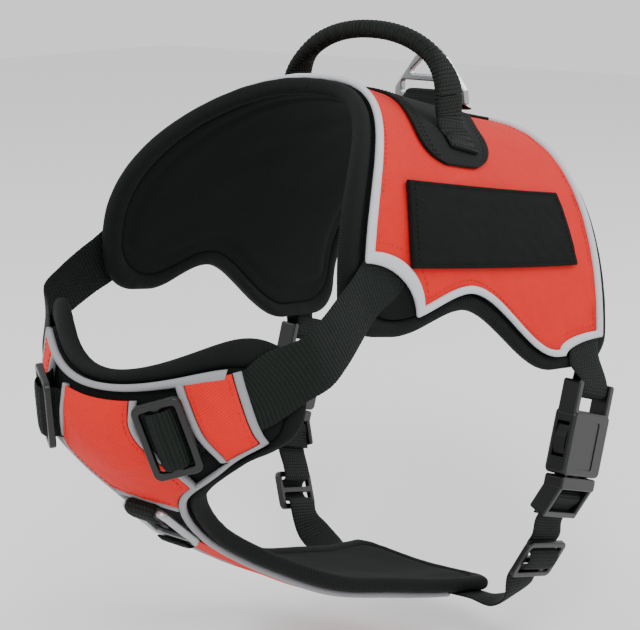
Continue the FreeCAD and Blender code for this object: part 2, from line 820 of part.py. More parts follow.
# The free span from the arm's tip to the back panel's front corner.
free_span = [
    ((77.0, -99, 12), (0.93, -0.36, 0.05)),
    ((77.5, -88, 18), (0.98, -0.18, 0.06)),
    ((76.0, -77, 24), (0.99, -0.03, 0.08)),
    ((74.0, -66, 29.5), (0.98, 0.10, 0.08)),
]
span_points = [Vector(*point) for point, normal in free_span]
for i, (point, normal) in enumerate(free_span):
    run = span_points[min(i + 1, 3)] - span_points[max(i - 1, 0)]
    facing = Vector(*normal)
    facing = (facing - run * (facing.dot(run) / run.dot(run))).normalize()
    aside = run.cross(facing).normalize()
    strap_rows.append(flat_row(span_points[i], aside, facing, webbing_width))
corner_spots = [(116.0, 12.0), (108.0, 23.0), (99.0, 35.0)]
for i, spot in enumerate(corner_spots):
    run = back_point(*corner_spots[min(i + 1, 2)]) - back_point(*corner_spots[max(i - 1, 0)])
    strap_rows.append(skin_row(back, spot, run, (1.9, 1.0, 0.95)[i], webbing_width))
save_pair("shoulder_strap", ribbon(strap_rows, webbing_thick))

# ---- Girth straps, side-release buckles and their slides ----------------------------------------
buckle_frame = Frame((90, 99, -43.7), (0, -0.317, -0.945), (0.994, -0.047, 0.016))
girth_frame = Frame((77, 76.5, -127.6), (-0.40, -0.22, -0.89), (0.911, -0.188, -0.363))
half_buckle, half_thick = buckle_width / 2, buckle_thick / 2
body_start = 10.5
mouth = body_start + female_length - 6.0
window_start, window_end = body_start + 6.0, mouth - 8.5
cavity_half = half_buckle - 3.0
cavity_high = half_thick - buckle_wall
prong_pivot = (9.4, mouth + 3.6)


def female_buckle():
    """Socket half: webbing bar, two arms and a hollow body with a window on each side."""
    body = rounded_block(-half_buckle, half_buckle, body_start, mouth, -half_thick, half_thick, 3.0)
    body = eased(body, 1.6)
    for side in (-1, 1):
        inner, outer = side * (half_buckle - 4.2), side * half_buckle
        body = body.fuse(eased(rounded_block(min(inner, outer), max(inner, outer), -4.2, body_start + 3,
                                             1.2 - half_thick, half_thick - 1.0, 1.5), 0.9))
    body = body.fuse(bar_along_x(-half_buckle + 1, half_buckle - 1, 0, 0, buckle_bar))
    body = body.cut(block(-cavity_half, cavity_half, body_start + 3.5, mouth + 1, -cavity_high, cavity_high))
    for side in (-1, 1):
        near, far = side * (cavity_half - 1), side * (half_buckle + 2)
        body = body.cut(rounded_block(min(near, far), max(near, far), window_start, window_end,
                                      -cavity_high, cavity_high, 1.0))
    panel_cut = rounded_block(-7.5, 7.5, body_start + 4.5, mouth - 3.5, half_thick - 0.4, half_thick + 1, 1.5)
    return body.cut(panel_cut)


shoulder_start = mouth + 0.6
shoulder_end = shoulder_start + 6.4
rail = half_buckle - 1.2
rail_thick = 3.2
bent = math.radians(male_bend)
tail_frame = Frame(buckle_frame.at(0, shoulder_end - 2.0, 0),
                   buckle_frame.y * math.cos(bent) - buckle_frame.z * math.sin(bent),
                   buckle_frame.z * math.cos(bent) + buckle_frame.y * math.sin(bent))
tail_length = male_length - 9.4
inner_bar = 6.6
inner_bar_radius = buckle_bar - 0.2


def male_shoulder():
    """Plug half's block against the socket's mouth, with its guide tongue and prong sockets."""
    plate = eased(rounded_block(-rail, rail, shoulder_start, shoulder_end,
                                -half_thick + 0.6, half_thick - 0.6, 1.5), 0.9)
    plate = plate.fuse(block(-2.4, 2.4, body_start + 9, shoulder_start + 2, -2.4, 2.4))
    for side in (-1, 1):
        socket = Part.makeCylinder(2.06, 2 * cavity_high, Vector(side * prong_pivot[0], prong_pivot[1],
                                                                -cavity_high))
        mouth_cut = block(side * prong_pivot[0] - 2.9, side * prong_pivot[0] + 2.9, shoulder_start - 1,
                          prong_pivot[1] - 1.1, -cavity_high, cavity_high)
        plate = plate.cut(socket).cut(mouth_cut)
    return plate


def male_tail():
    """Plug half's webbing frame: two rails, an inner bar and an end bar, in the bent frame."""
    low, high = 1.4 - half_thick, half_thick - 1.0
    bar_y = tail_length - 3.4
    tail = eased(block(-rail + 1, rail - 1, bar_y, tail_length - 0.2, 2.4, high), 0.6)
    for side in (-1, 1):
        near, far = side * (rail - rail_thick), side * (rail - 0.3)
        tail = tail.fuse(eased(rounded_block(min(near, far), max(near, far), -1.5, tail_length,
                                             low, high, 1.4), 0.9))
    return tail.fuse(bar_along_x(-rail + 1, rail - 1, inner_bar, 0, inner_bar_radius))


def prong():
    """Sprung prong on the +x side; its head fills the side window."""
    x, y = prong_pivot
    points = [(x - 1.2, y), (x + 1.2, y), (x + 1.5, window_end + 3.0), (x + 1.9, window_end - 0.9),
              (half_buckle - 1.2, window_end - 1.1), (half_buckle + 0.4, window_end - 4.5),
              (half_buckle + 0.4, window_start + 7.0), (half_buckle - 1.6, window_start + 1.6),
              (x + 3.0, window_start + 0.8), (x - 0.2, window_start + 2.6), (x - 0.8, window_end - 2.0)]
    outline = Part.makePolygon([Vector(px, py, 0) for px, py in points + points[:1]])
    high = cavity_high - 0.35
    body = Part.Face(outline).extrude(Vector(0, 0, 2 * high))
    body.translate(Vector(0, 0, -high))
    head = [edge for edge in body.Edges
            if abs(edge.Vertexes[0].Z - edge.Vertexes[-1].Z) > high and edge.Vertexes[0].X > x + 2.5]
    body = body.makeFillet(0.9, head)
    return body.fuse(Part.makeCylinder(2.0, 2 * high, Vector(x, y, -high)))


save_pair("female_buckle", buckle_frame.place(female_buckle()))
save_pair("male_buckle", buckle_frame.place(male_shoulder()).fuse(tail_frame.place(male_tail())))
prong_rear = prong()
prong_front = prong_rear.mirror(Vector(0, 0, 0), Vector(1, 0, 0))
save_pair("prong_a", buckle_frame.place(prong_rear))
save_pair("prong_b", buckle_frame.place(prong_front))
save_pair("girth_slide", girth_frame.place(slide_solid()))


def around_bar(centre, radius, first, last, step=20):
    """Points of webbing round a bar, by angle in degrees from +z towards +y."""
    points = []
    count = int(round(abs(last - first) / step))
    for i in range(count + 1):
        angle = math.radians(first + (last - first) * i / count)
        points.append((centre + radius * math.sin(angle), radius * math.cos(angle)))
    return points


# Upper loop: sewn under the red cover at the leg, round the socket's bar and back up behind.
wrap = buckle_bar + running_gap + webbing_thick / 2
leg_middle = (leg_start + back_length) / 2
loop_rows = []
for across, height in ((116.0, 0.95), (126.0, 0.95), (136.0, 1.2), (144.0, 2.0), (152.0, 2.3)):
    loop_rows.append(skin_row(back, (across, leg_middle), Vector(0, 0, -1), height, webbing_width))
loop_rows += frame_rows(buckle_frame, around_bar(0, wrap, 0, 180) + [(-5, -2.4), (-9, -2.2)], webbing_width)
save_pair("girth_loop", ribbon(loop_rows, webbing_thick, 1.2))

# Girth strap: doubled round the plug's inner bar, through the slide and under the belly panel.
strap_path = [(tail_length + 2.0, -1.9), (inner_bar + 5.0, -2.3)]
strap_path += around_bar(inner_bar, inner_bar_radius + running_gap + webbing_thick / 2, 180, 360)
strap_path += [(inner_bar + 4.0, 1.8), (tail_length - 1.8, 0.8), (tail_length + 3.0, 0.8)]
girth_rows = frame_rows(tail_frame, strap_path, webbing_width)
girth_rows += frame_rows(girth_frame, weave_path(-1.6), webbing_width)
belly_along = 11.55
belly_rows = [(1.05, 3.0), (0.9, 2.6), (0.72, band_middle), (0.6, band_middle)]
run_in = panel_point(0.6, belly_along) - panel_point(1.0, belly_along)
free_rows = [((66.0, 77.0, -149.5), (0.45, 0.0, -0.89)), ((58.0, 77.5, -155.5), (0.42, 0.0, -0.91))]
for point, normal in free_rows:
    facing = Vector(*normal).normalize()
    aside = run_in.cross(facing).normalize()
    girth_rows.append(flat_row(Vector(*point), aside, facing, webbing_width))
for across, height in belly_rows:
    girth_rows.append(skin_row(panel, (across, belly_along), run_in, height, webbing_width))
# The strap is one piece of webbing, built as spans that meet face to face at these rows.
span_ends = [0, 13, 20, 27, len(girth_rows) - 1]
save_pair("girth_strap", *[ribbon(girth_rows[first:last + 1], webbing_thick, 1.2)
                           for first, last in zip(span_ends, span_ends[1:])])

half_belly = 0.57
save("belly_webbing", pad(panel, lambda s, t: (
    half_belly * (2 * s - 1), belly_along + (t - 0.5) * webbing_width / panel_pace(belly_along)),
    level(band_base), level(band_top), 10, 4))

# ---- Chest ring and its two webbing loops -------------------------------------------------------
ring_along = 5.75
ring_normal = panel.normal(0, ring_along)
ring_run = panel_point(0, ring_along + 0.3) - panel_point(0, ring_along - 0.3)
front_frame = Frame(panel.lifted(0, ring_along, cover_top + chest_ring_lift), ring_run, ring_normal)
half_long, half_wide, r = chest_ring_length / 2, chest_ring_width / 2, chest_ring_bar / 2


def chest_ring():
    """Four-bar ring, a little wider at its lower end, from bars of one flat-oval section."""
    outer = rounded_block(-half_wide - r, half_wide + r, -half_long - r, half_long + r, -r, r, 4.5)
    inner = rounded_block(-half_wide + r, half_wide - r, -half_long + r, half_long - r, -r - 1, r + 1, 2.5)
    return eased(outer.cut(inner), 1.2)


save("front_ring", front_frame.place(chest_ring()))
hold = r + running_gap + webbing_thick / 2
for name, side in (("front_ring_upper_loop", -1), ("front_ring_lower_loop", 1)):
    centre = side * half_long
    path = [(centre - side * 3.2, -hold - 0.1), (centre, -hold), (centre + side * hold * 0.8, -hold * 0.6),
            (centre + side * hold, 0), (centre + side * hold * 0.8, hold * 0.6),
            (centre, hold), (centre - side * 3.2, hold)]
    rows = frame_rows(front_frame, path, chest_ring_webbing)
    save(name, ribbon(rows, webbing_thick, 1.2))
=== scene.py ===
"""Looks of the no pull dog harness: cloth, padding, webbing, stitching and finishes.

Shapes are worked out in millimetres on the same two surfaces as the CAD part, the arched back and
the chest and belly panel, and turned into metres when their meshes are made.
"""

import logging
import math
from dataclasses import dataclass, field
from enum import Enum
from typing import Callable

import bmesh
import bpy
import numpy as np
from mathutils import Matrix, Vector


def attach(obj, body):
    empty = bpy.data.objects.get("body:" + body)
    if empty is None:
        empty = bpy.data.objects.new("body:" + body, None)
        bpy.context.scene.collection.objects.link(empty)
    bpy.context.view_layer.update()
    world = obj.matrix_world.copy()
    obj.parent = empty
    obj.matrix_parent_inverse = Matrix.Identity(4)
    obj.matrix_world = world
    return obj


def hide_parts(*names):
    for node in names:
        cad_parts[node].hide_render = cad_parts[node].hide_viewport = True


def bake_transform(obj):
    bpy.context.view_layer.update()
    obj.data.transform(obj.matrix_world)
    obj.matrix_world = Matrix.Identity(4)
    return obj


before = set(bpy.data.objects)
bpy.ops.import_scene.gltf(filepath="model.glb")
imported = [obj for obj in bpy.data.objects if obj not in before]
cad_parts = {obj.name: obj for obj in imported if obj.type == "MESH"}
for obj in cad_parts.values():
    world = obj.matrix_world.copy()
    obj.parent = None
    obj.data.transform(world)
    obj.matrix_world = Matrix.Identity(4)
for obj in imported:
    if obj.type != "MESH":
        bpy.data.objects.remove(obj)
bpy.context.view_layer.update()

LOG = logging.getLogger("harness")
Array = np.ndarray
Field = Callable[[Array, Array], Array]
Place = Callable[[Array, Array], tuple[Array, Array]]
MM = 0.001


class Slot(Enum):
    """Material slots of the record."""

    RED = "red_shell"
    MESH = "padding_mesh"
    BINDING = "binding"
    WEBBING = "webbing"
    BACK_PIPING = "back_piping"
    CHEST_PIPING = "chest_piping"
    PILE = "loop_pile"
    CLOTH = "base_cloth"
    PLASTIC = "plastic"
    METAL = "ring_metal"


@dataclass(frozen=True)
class BackSizes:
    """Driving sizes of the back panel, in millimetres."""

    length: float = 156.0
    ridge_front: float = -8.0
    ridge_height: float = 111.0
    ridge_drop: float = 0.29
    ridge_flatten: float = 0.00036
    half_width_front: float = 70.0
    half_width_rear: float = 88.5
    spring_front: float = 35.0
    spring_rear: float = -25.0
    sweep_front: float = 65.0
    sweep_rear: float = 28.0
    lobe_depth: float = 138.0
    arch_depth: float = 126.5
    leg_depth: float = 158.0
    lobe_end: float = 24.0
    arch_middle: float = 62.0
    leg_start: float = 118.0


@dataclass(frozen=True)
class Layers:
    """Thicknesses and widths of the sewn layers, in millimetres."""

    padding: float = 5.0
    cloth: float = 1.0
    gap: float = 0.2
    edge: float = 7.5
    panel_margin: float = 7.0
    binding: float = 7.0
    piping_width: float = 3.4
    piping: float = 3.2
    webbing: float = 1.6
    webbing_width: float = 25.0
    running_gap: float = 0.5

    @property
    def shell_base(self) -> float:
        """Underside of the red cloth on the back."""
        return self.webbing + self.gap

    @property
    def shell_top(self) -> float:
        """Face of the red cloth on the back."""
        return self.shell_base + self.cloth

    @property
    def trim_base(self) -> float:
        """Underside of what is sewn on the red cloth."""
        return self.shell_top + self.gap

    @property
    def trim_top(self) -> float:
        """Face of the webbing sewn on the red cloth."""
        return self.trim_base + self.webbing

    @property
    def band_base(self) -> float:
        """Underside of the webbing on the chest panel."""
        return self.cloth + 2 * self.gap

    @property
    def red_base(self) -> float:
        """Underside of the red fields on the chest panel."""
        return self.band_base + self.webbing + self.gap

    @property
    def red_top(self) -> float:
        """Face of the red fields on the chest panel."""
        return self.red_base + self.cloth


BACK = BackSizes()
LAYER = Layers()
PANEL_STATIONS: tuple[tuple[tuple[float, float], tuple[float, float, float]], ...] = (
    ((-141, 6), (65, -106, 30)),
    ((-144, -6), (74, -101, 6)),
    ((-145, -17), (73, -105, -16)),
    ((-139, -30), (57, -119, -29)),
    ((-129, -42), (38, -119, -44)),
    ((-116, -55), (28, -113, -56)),
    ((-101, -69), (23, -101, -72)),
    ((-85, -83), (23, -87, -85)),
    ((-58, -102), (26, -60, -103)),
    ((-20, -126), (31, -20, -124)),
    ((20, -142), (35, 22, -138)),
    ((56, -153), (40, 56, -149)),
    ((92, -161), (48, 92, -158)),
)
SECTION_CROWN = 1.3
STATIONS = len(PANEL_STATIONS) - 1


# ---- Curves and noise ---------------------------------------------------------------------------
def smooth(value: Array | float) -> Array:
    """Ease from 0 to 1 with level ends.

    Args:
        value: where on the ease, clipped to 0 to 1.
    Returns:
        The eased value.
    """
    v = np.clip(value, 0.0, 1.0)
    return v * v * (3 - 2 * v)


def unit(v: Array) -> Array:
    """Scale vectors to length one.

    Args:
        v: vectors along the last axis.
    Returns:
        The unit vectors.
    """
    return v / np.maximum(np.linalg.norm(v, axis=-1, keepdims=True), 1e-12)


def waves(x: Array, y: Array, scale: float, seed: int) -> Array:
    """Smooth, aimless waves for creases and puckers, from -1 to 1 or so.

    Args:
        x: first coordinate, in millimetres.
        y: second coordinate, in millimetres.
        scale: typical distance between crests.
        seed: which pattern.
    Returns:
        The height at each point.
    """
    rng = np.random.default_rng(seed)
    total = np.zeros(np.broadcast(x, y).shape)
    for _ in range(7):
        angle = rng.uniform(0, math.pi)
        rate = 2 * math.pi / scale * rng.uniform(0.6, 1.6)
        phase = rng.uniform(0, 2 * math.pi)
        total += np.sin((x * math.cos(angle) + y * math.sin(angle)) * rate + phase)
    return total / 4.0


# ---- The two surfaces ---------------------------------------------------------------------------
class Skin:
    """A surface with two coordinates, an outward normal and a way to step sideways on it."""

    step: tuple[float, float] = (1.0, 1.0)
    turn: float = 1.0

    def point(self, a: Array, b: Array) -> Array:
        """Points of the surface; each kind of surface gives its own."""
        raise NotImplementedError

    def slopes(self, a: Array, b: Array) -> tuple[Array, Array]:
        """Change of the point with each coordinate.

        Args:
            a: first coordinate.
            b: second coordinate.
        Returns:
            The two derivative vectors.
        """
        da, db = self.step
        along_a = (self.point(a + da, b) - self.point(a - da, b)) / (2 * da)
        along_b = (self.point(a, b + db) - self.point(a, b - db)) / (2 * db)
        return along_a, along_b

    def normal(self, a: Array, b: Array) -> Array:
        """Outward unit normals."""
        along_a, along_b = self.slopes(a, b)
        return unit(np.cross(along_a, along_b) * self.turn)

    def lifted(self, a: Array, b: Array, height: Array | float) -> Array:
        """Points raised from the surface.

        Args:
            a: first coordinate.
            b: second coordinate.
            height: how far out, in millimetres.
        Returns:
            The raised points.
        """
        a, b = np.asarray(a, float), np.asarray(b, float)
        return self.point(a, b) + self.normal(a, b) * np.asarray(height)[..., None]

    def beside(self, a: Array, b: Array, shift: Array) -> tuple[Array, Array]:
        """Coordinates reached by a small shift in space, from the two slopes' products.

        Args:
            a: first coordinate.
            b: second coordinate.
            shift: the shift, in millimetres.
        Returns:
            The new coordinates.
        """
        along_a, along_b = self.slopes(a, b)
        aa, ab = (along_a * along_a).sum(-1), (along_a * along_b).sum(-1)
        bb = (along_b * along_b).sum(-1)
        sa, sb = (shift * along_a).sum(-1), (shift * along_b).sum(-1)
        scale = 1.0 / (aa * bb - ab * ab)
        return a + (sa * bb - sb * ab) * scale, b + (sb * aa - sa * ab) * scale


class BackSkin(Skin):
    """The arched back: across is the distance from the ridge, along the distance from the front."""

    step = (0.8, 0.8)
    turn = 1.0

    def __init__(self, sizes: BackSizes) -> None:
        self.sizes = sizes
        self.first, self.count, self.reach = -30, 221, 201
        arcs = np.arange(self.reach, dtype=float)
        table = np.zeros((self.count, self.reach, 3))
        for row in range(self.count):
            table[row] = self._section(float(self.first + row), arcs)
        self.table = table

    def _section(self, along: float, arcs: Array) -> Array:
        """One cross-section, a superellipse from the ridge to the flank that then drops straight.

        Args:
            along: distance from the panel's front.
            arcs: distances from the ridge.
        Returns:
            x, z and side share at each distance.
        """
        s = self.sizes
        t = along / s.length
        widening = (s.half_width_rear - s.half_width_front) * (1.45 * t - 0.45 * t * t)
        width = s.half_width_front + widening
        top = s.ridge_height - s.ridge_drop * along + s.ridge_flatten * along * along
        spring = s.spring_front + (s.spring_rear - s.spring_front) * (1.75 * t - 0.75 * t * t)
        power = 2.0 / (2.4 - 0.3 * t)
        angle = np.linspace(0, 0.5 * math.pi, 97)
        x = width * np.sin(angle) ** power
        z = spring + (top - spring) * np.maximum(np.cos(angle), 0) ** power
        length = np.concatenate([[0], np.cumsum(np.hypot(np.diff(x), np.diff(z)))])
        out = np.stack([np.interp(arcs, length, v) for v in (x, z, np.sin(angle) ** 2)], -1)
        beyond = np.maximum(arcs - length[-1], 0)
        out[:, 1] -= beyond
        return out

    def point(self, a: Array, b: Array) -> Array:
        """Points of the back at across a and along b, in millimetres."""
        a, b = np.broadcast_arrays(np.asarray(a, float), np.asarray(b, float))
        row = np.clip(b - self.first, 0, self.count - 1.001)
        arc = np.clip(np.abs(a), 0, self.reach - 1.001)
        i, j = row.astype(int), arc.astype(int)
        u, v = (row - i)[..., None], (arc - j)[..., None]
        t = self.table
        near = (t[i, j] * (1 - u) + t[i + 1, j] * u) * (1 - v)
        value = near + (t[i, j + 1] * (1 - u) + t[i + 1, j + 1] * u) * v
        s = self.sizes
        sweep = s.sweep_front + (s.sweep_rear - s.sweep_front) * b / s.length
        y = s.ridge_front + b * 0.985 - sweep * value[..., 2]
        return np.stack([np.copysign(value[..., 0], a), y, value[..., 1]], -1)


class PanelSkin(Skin):
    """The chest and belly panel: across runs from -1 to 1, along counts stations."""

    step = (0.01, 0.02)
    turn = -1.0

    def __init__(self) -> None:
        self.centres = np.array([(0, y, z) for (y, z), _ in PANEL_STATIONS], float)
        self.edges = np.array([edge for _, edge in PANEL_STATIONS], float)

    @staticmethod
    def _through(stations: Array, place: Array) -> Array:
        """Smooth cubic curve through the stations, whose slope at each is its neighbours' chord.

        Args:
            stations: points, in order.
            place: station number, which may be between two.
        Returns:
            The points of the curve.
        """
        last = len(stations) - 1
        step = np.clip(np.floor(place).astype(int), 0, last - 1)
        t = (place - step)[..., None]
        here, there = stations[step], stations[step + 1]
        before = np.where((step > 0)[..., None], stations[np.maximum(step - 1, 0)],
                          here * 2 - there)
        after = np.where((step + 2 <= last)[..., None], stations[np.minimum(step + 2, last)],
                         there * 2 - here)
        bend = before * 2 - here * 5 + there * 4 - after
        twist = here * 3 - there * 3 + after - before
        return here + ((there - before) + (bend + twist * t) * t) * (0.5 * t)

    def point(self, a: Array, b: Array) -> Array:
        """Points of the panel at across a and along b."""
        a, b = np.broadcast_arrays(np.asarray(a, float), np.asarray(b, float))
        centre, edge = self._through(self.centres, b), self._through(self.edges, b)
        rise = SECTION_CROWN * a ** 2 - (SECTION_CROWN - 1) * a ** 4
        y = centre[..., 1] + (edge[..., 1] - centre[..., 1]) * rise
        z = centre[..., 2] + (edge[..., 2] - centre[..., 2]) * rise
        return np.stack([edge[..., 0] * a, y, z], -1)

    def half_width(self, along: Array) -> Array:
        """Length of the section from the centre line to the edge."""
        along = np.asarray(along, float)
        points = [self.point(np.full(along.shape, k / 6.0), along) for k in range(7)]
        return sum(np.linalg.norm(q - p, axis=-1) for p, q in zip(points, points[1:]))

    def pace(self, along: Array) -> Array:
        """Length of one station step."""
        along = np.asarray(along, float)
        a = np.full(along.shape, 0.4)
        ahead, behind = self.point(a, along + 0.05), self.point(a, along - 0.05)
        return np.linalg.norm(ahead - behind, axis=-1) / 0.1


back = BackSkin(BACK)
panel = PanelSkin()


# ---- Materials ----------------------------------------------------------------------------------
def add_node(tree: bpy.types.NodeTree, kind: str, values: dict[str | int, object],
             **settings: object) -> bpy.types.Node:
    """Add one node to a tree.

    Args:
        tree: the node tree.
        kind: the node's type.
        values: values or links of its sockets.
        settings: its settings, which are set first.
    Returns:
        The node.
    """
    node = tree.nodes.new(kind)
    for name, value in settings.items():
        setattr(node, name, value)
    for key, value in values.items():
        if isinstance(value, Wire):
            tree.links.new(value.socket, node.inputs[key])
        else:
            node.inputs[key].default_value = value
    return node


class Wire:
    """A node socket that takes part in arithmetic."""

    def __init__(self, tree: bpy.types.NodeTree, socket: bpy.types.NodeSocket) -> None:
        self.tree = tree
        self.socket = socket

    def _math(self, operation: str, *values: "Wire | float", clamp: bool = False) -> "Wire":
        """Result of one Math node.

        Args:
            operation: the node's operation.
            values: its values, in order.
            clamp: whether the result is held between 0 and 1.
        Returns:
            The result's socket.
        """
        node = add_node(self.tree, "ShaderNodeMath", dict(enumerate(values)),
                        operation=operation, use_clamp=clamp)
        return Wire(self.tree, node.outputs[0])

    def __add__(self, other: "Wire | float") -> "Wire":
        """Sum."""
        return self._math("ADD", self, other)

    def __radd__(self, other: float) -> "Wire":
        """Sum with a number on the left."""
        return self._math("ADD", other, self)

    def __sub__(self, other: "Wire | float") -> "Wire":
        """Difference."""
        return self._math("SUBTRACT", self, other)

    def __rsub__(self, other: float) -> "Wire":
        """Difference from a number."""
        return self._math("SUBTRACT", other, self)

    def __mul__(self, other: "Wire | float") -> "Wire":
        """Product."""
        return self._math("MULTIPLY", self, other)

    def __rmul__(self, other: float) -> "Wire":
        """Product with a number on the left."""
        return self._math("MULTIPLY", other, self)

    def __truediv__(self, other: "Wire | float") -> "Wire":
        """Quotient."""
        return self._math("DIVIDE", self, other)

    def __abs__(self) -> "Wire":
        """Size without sign."""
        return self._math("ABSOLUTE", self)

    def sine(self) -> "Wire":
        """Sine of the value, in radians."""
        return self._math("SINE", self)

    def floor(self) -> "Wire":
        """Whole part."""
        return self._math("FLOOR", self)

    def power(self, exponent: float) -> "Wire":
        """Value raised to a power."""
        return self._math("POWER", self, exponent)

    def clipped(self) -> "Wire":
        """Value held between 0 and 1."""
        return self._math("ADD", self, 0.0, clamp=True)


@dataclass
class Cloth:
    """A procedural material for one record slot."""

    slot: Slot
    colour: tuple[float, float, float]
    roughness: float = 0.85
    metallic: float = 0.0
    coat: float = 0.0
    sheen: float = 0.16
    height: float = 0.0
    # vary: spread of the colour between its dark and light ends, from random tone and from painted
    # highlight and shade that follow the relief pattern
    vary: float = 0.15
    pattern: Callable[["Cloth", Wire, Wire], Wire] | None = None
    material: bpy.types.Material = field(init=False)

    def __post_init__(self) -> None:
        self.material = bpy.data.materials.new(self.slot.value)
        self.material.use_nodes = True
        self.tree = self.material.node_tree
        self.shader = self.tree.nodes["Principled BSDF"]
        self.build()

    def coords(self, output: str) -> Wire:
        """One output of a Texture Coordinate node."""
        return Wire(self.tree, add_node(self.tree, "ShaderNodeTexCoord", {}).outputs[output])

    def noise(self, scale: float, detail: float = 2.0, uv: bool = False) -> Wire:
        """Noise over the object's own coordinates or its sewn coordinates.

        Args:
            scale: crests per metre, or per millimetre on sewn coordinates.
            detail: octaves.
            uv: whether to use the sewn coordinates.
        Returns:
            The noise value, about 0 to 1.
        """
        node = add_node(self.tree, "ShaderNodeTexNoise",
                        {"Scale": scale, "Detail": detail,
                         "Vector": self.coords("UV" if uv else "Object")})
        return Wire(self.tree, node.outputs[0])

    def build(self) -> None:
        """Lay out the nodes."""
        tree, inputs = self.tree, self.shader.inputs
        split = add_node(tree, "ShaderNodeSeparateXYZ", {0: self.coords("UV")})
        u, v = Wire(tree, split.outputs[0]), Wire(tree, split.outputs[1])
        for name, value in (("Metallic", self.metallic), ("Specular IOR Level", self.sheen),
                            ("Coat Weight", self.coat), ("Roughness", self.roughness)):
            inputs[name].default_value = value
        # Colour: random tone from two noises; where there is a relief pattern, half of it follows that
        # pattern, a painted highlight on raised threads and painted shade in the hollows
        tone_and_painted_light = self.noise(60.0) * 0.6 + self.noise(260.0) * 0.4
        height = self.pattern(self, u, v) if self.pattern else None
        if height is not None:
            # painted highlight and shade: the relief height lightens raised threads and darkens the
            # hollows between them
            tone_and_painted_light = tone_and_painted_light * 0.5 + height * 0.5
            bump = add_node(tree, "ShaderNodeBump",
                            {"Strength": 1.0, "Distance": self.height * MM, "Height": height})
            tree.links.new(bump.outputs[0], inputs["Normal"])
        low = [c * (1 - self.vary) for c in self.colour] + [1]
        high = [min(c * (1 + self.vary), 1) for c in self.colour] + [1]
        mix = add_node(tree, "ShaderNodeMix", {6: low, 7: high, 0: tone_and_painted_light.clipped()},
                       data_type="RGBA")
        tree.links.new(mix.outputs[2], inputs["Base Color"])


TAU = 2 * math.pi


def twill(cloth: Cloth, u: Wire, v: Wire) -> Wire:
    """Fine diagonal weave."""
    diagonal = ((u + v * 0.8) * (TAU / 1.15)).sine() * 0.5 + 0.5
    thread = (u * (TAU / 0.62)).sine() * (v * (TAU / 0.62)).sine() * 0.5 + 0.5
    return diagonal * 0.65 + thread * 0.2 + cloth.noise(1.3, 3.0, True) * 0.15


def ribbed(cloth: Cloth, u: Wire, v: Wire) -> Wire:
    """Webbing: ribs across, broken into a basket by the warp."""
    rib = abs((v * (math.pi / 1.7)).sine())
    parity = (v / 1.7).floor() * math.pi
    warp = (u * (math.pi / 1.05) + parity).sine() * 0.5 + 0.5
    return rib.power(0.7) * 0.45 + warp * 0.5 * rib + cloth.noise(2.0, 2.0, True) * 0.1


def tape(cloth: Cloth, u: Wire, v: Wire) -> Wire:
    """Binding tape: fine ribs across its width."""
    rib = (v * (TAU / 1.25)).sine() * 0.5 + 0.5
    grain = (u * (TAU / 0.9) + v * (TAU / 0.9)).sine() * 0.5 + 0.5
    return rib * 0.6 + grain * 0.3 + cloth.noise(1.5, 2.0, True) * 0.1


def knit(cloth: Cloth, u: Wire, v: Wire) -> Wire:
    """Knitted spacer mesh."""
    cells = (u * (TAU / 1.5)).sine() * (v * (TAU / 1.5)).sine() * 0.5 + 0.5
    return cells * 0.7 + cloth.noise(0.8, 3.0, True) * 0.3


def pile(cloth: Cloth, u: Wire, v: Wire) -> Wire:
    """Rough loop pile."""
    return cloth.noise(2.6, 5.0, True) * 1.1 + cloth.noise(7.0, 2.0, True) * 0.6 - 0.35


def smooth_tape(cloth: Cloth, u: Wire, v: Wire) -> Wire:
    """Reflective piping: nearly smooth, with a faint grain."""
    return cloth.noise(1.2, 3.0, True)


def satin(cloth: Cloth, u: Wire, v: Wire) -> Wire:
    """Fine texture of moulded plastic."""
    return cloth.noise(1500.0, 3.0)


BLACK_MESH = (0.004, 0.006, 0.005)
CLOTHS: dict[Slot, Cloth] = {made.slot: made for made in (
    Cloth(Slot.RED, (0.66, 0.016, 0.012), 0.72, height=0.14, vary=0.24, pattern=twill),
    Cloth(Slot.MESH, BLACK_MESH, 0.9, height=0.16, vary=0.35, pattern=knit),
    Cloth(Slot.BINDING, BLACK_MESH, 0.8, height=0.22, vary=0.45, pattern=tape),
    Cloth(Slot.WEBBING, (0.006, 0.009, 0.007), 0.72, height=0.55, vary=0.6, pattern=ribbed),
    Cloth(Slot.BACK_PIPING, (0.55, 0.56, 0.60), 0.45, height=0.06, vary=0.1,
          pattern=smooth_tape),
    Cloth(Slot.CHEST_PIPING, (0.27, 0.27, 0.29), 0.5, height=0.06, vary=0.1,
          pattern=smooth_tape),
    Cloth(Slot.PILE, (0.006, 0.008, 0.007), 0.95, height=0.8, vary=0.7, pattern=pile),
    Cloth(Slot.CLOTH, (0.003, 0.0045, 0.004), 0.9, height=0.1, vary=0.4, pattern=knit),
    Cloth(Slot.PLASTIC, (0.003, 0.004, 0.0035), 0.33, sheen=0.45, height=0.02, vary=0.1,
          pattern=satin),
    Cloth(Slot.METAL, (0.42, 0.43, 0.44), 0.35, metallic=0.9, sheen=0.5, height=0.02, vary=0.1,
          pattern=satin),
)}


# ---- Meshes -------------------------------------------------------------------------------------
@dataclass
class Grid:
    """One closed surface, given as a grid of points that closes on itself across its columns."""

    points: Array
    uv: Array
    ends: bool = True

    def faces(self, start: int) -> tuple[Array, Array]:
        """Quads and their sewn coordinates.

        Args:
            start: index of the first point.
        Returns:
            The quads and the uv of each corner.
        """
        rows, cols = self.points.shape[:2]
        i, j = np.meshgrid(np.arange(rows - 1), np.arange(cols), indexing="ij")
        k = (j + 1) % cols
        quads = np.stack([i * cols + j, (i + 1) * cols + j, (i + 1) * cols + k, i * cols + k], -1)
        return quads.reshape(-1, 4) + start, quads.reshape(-1, 4)


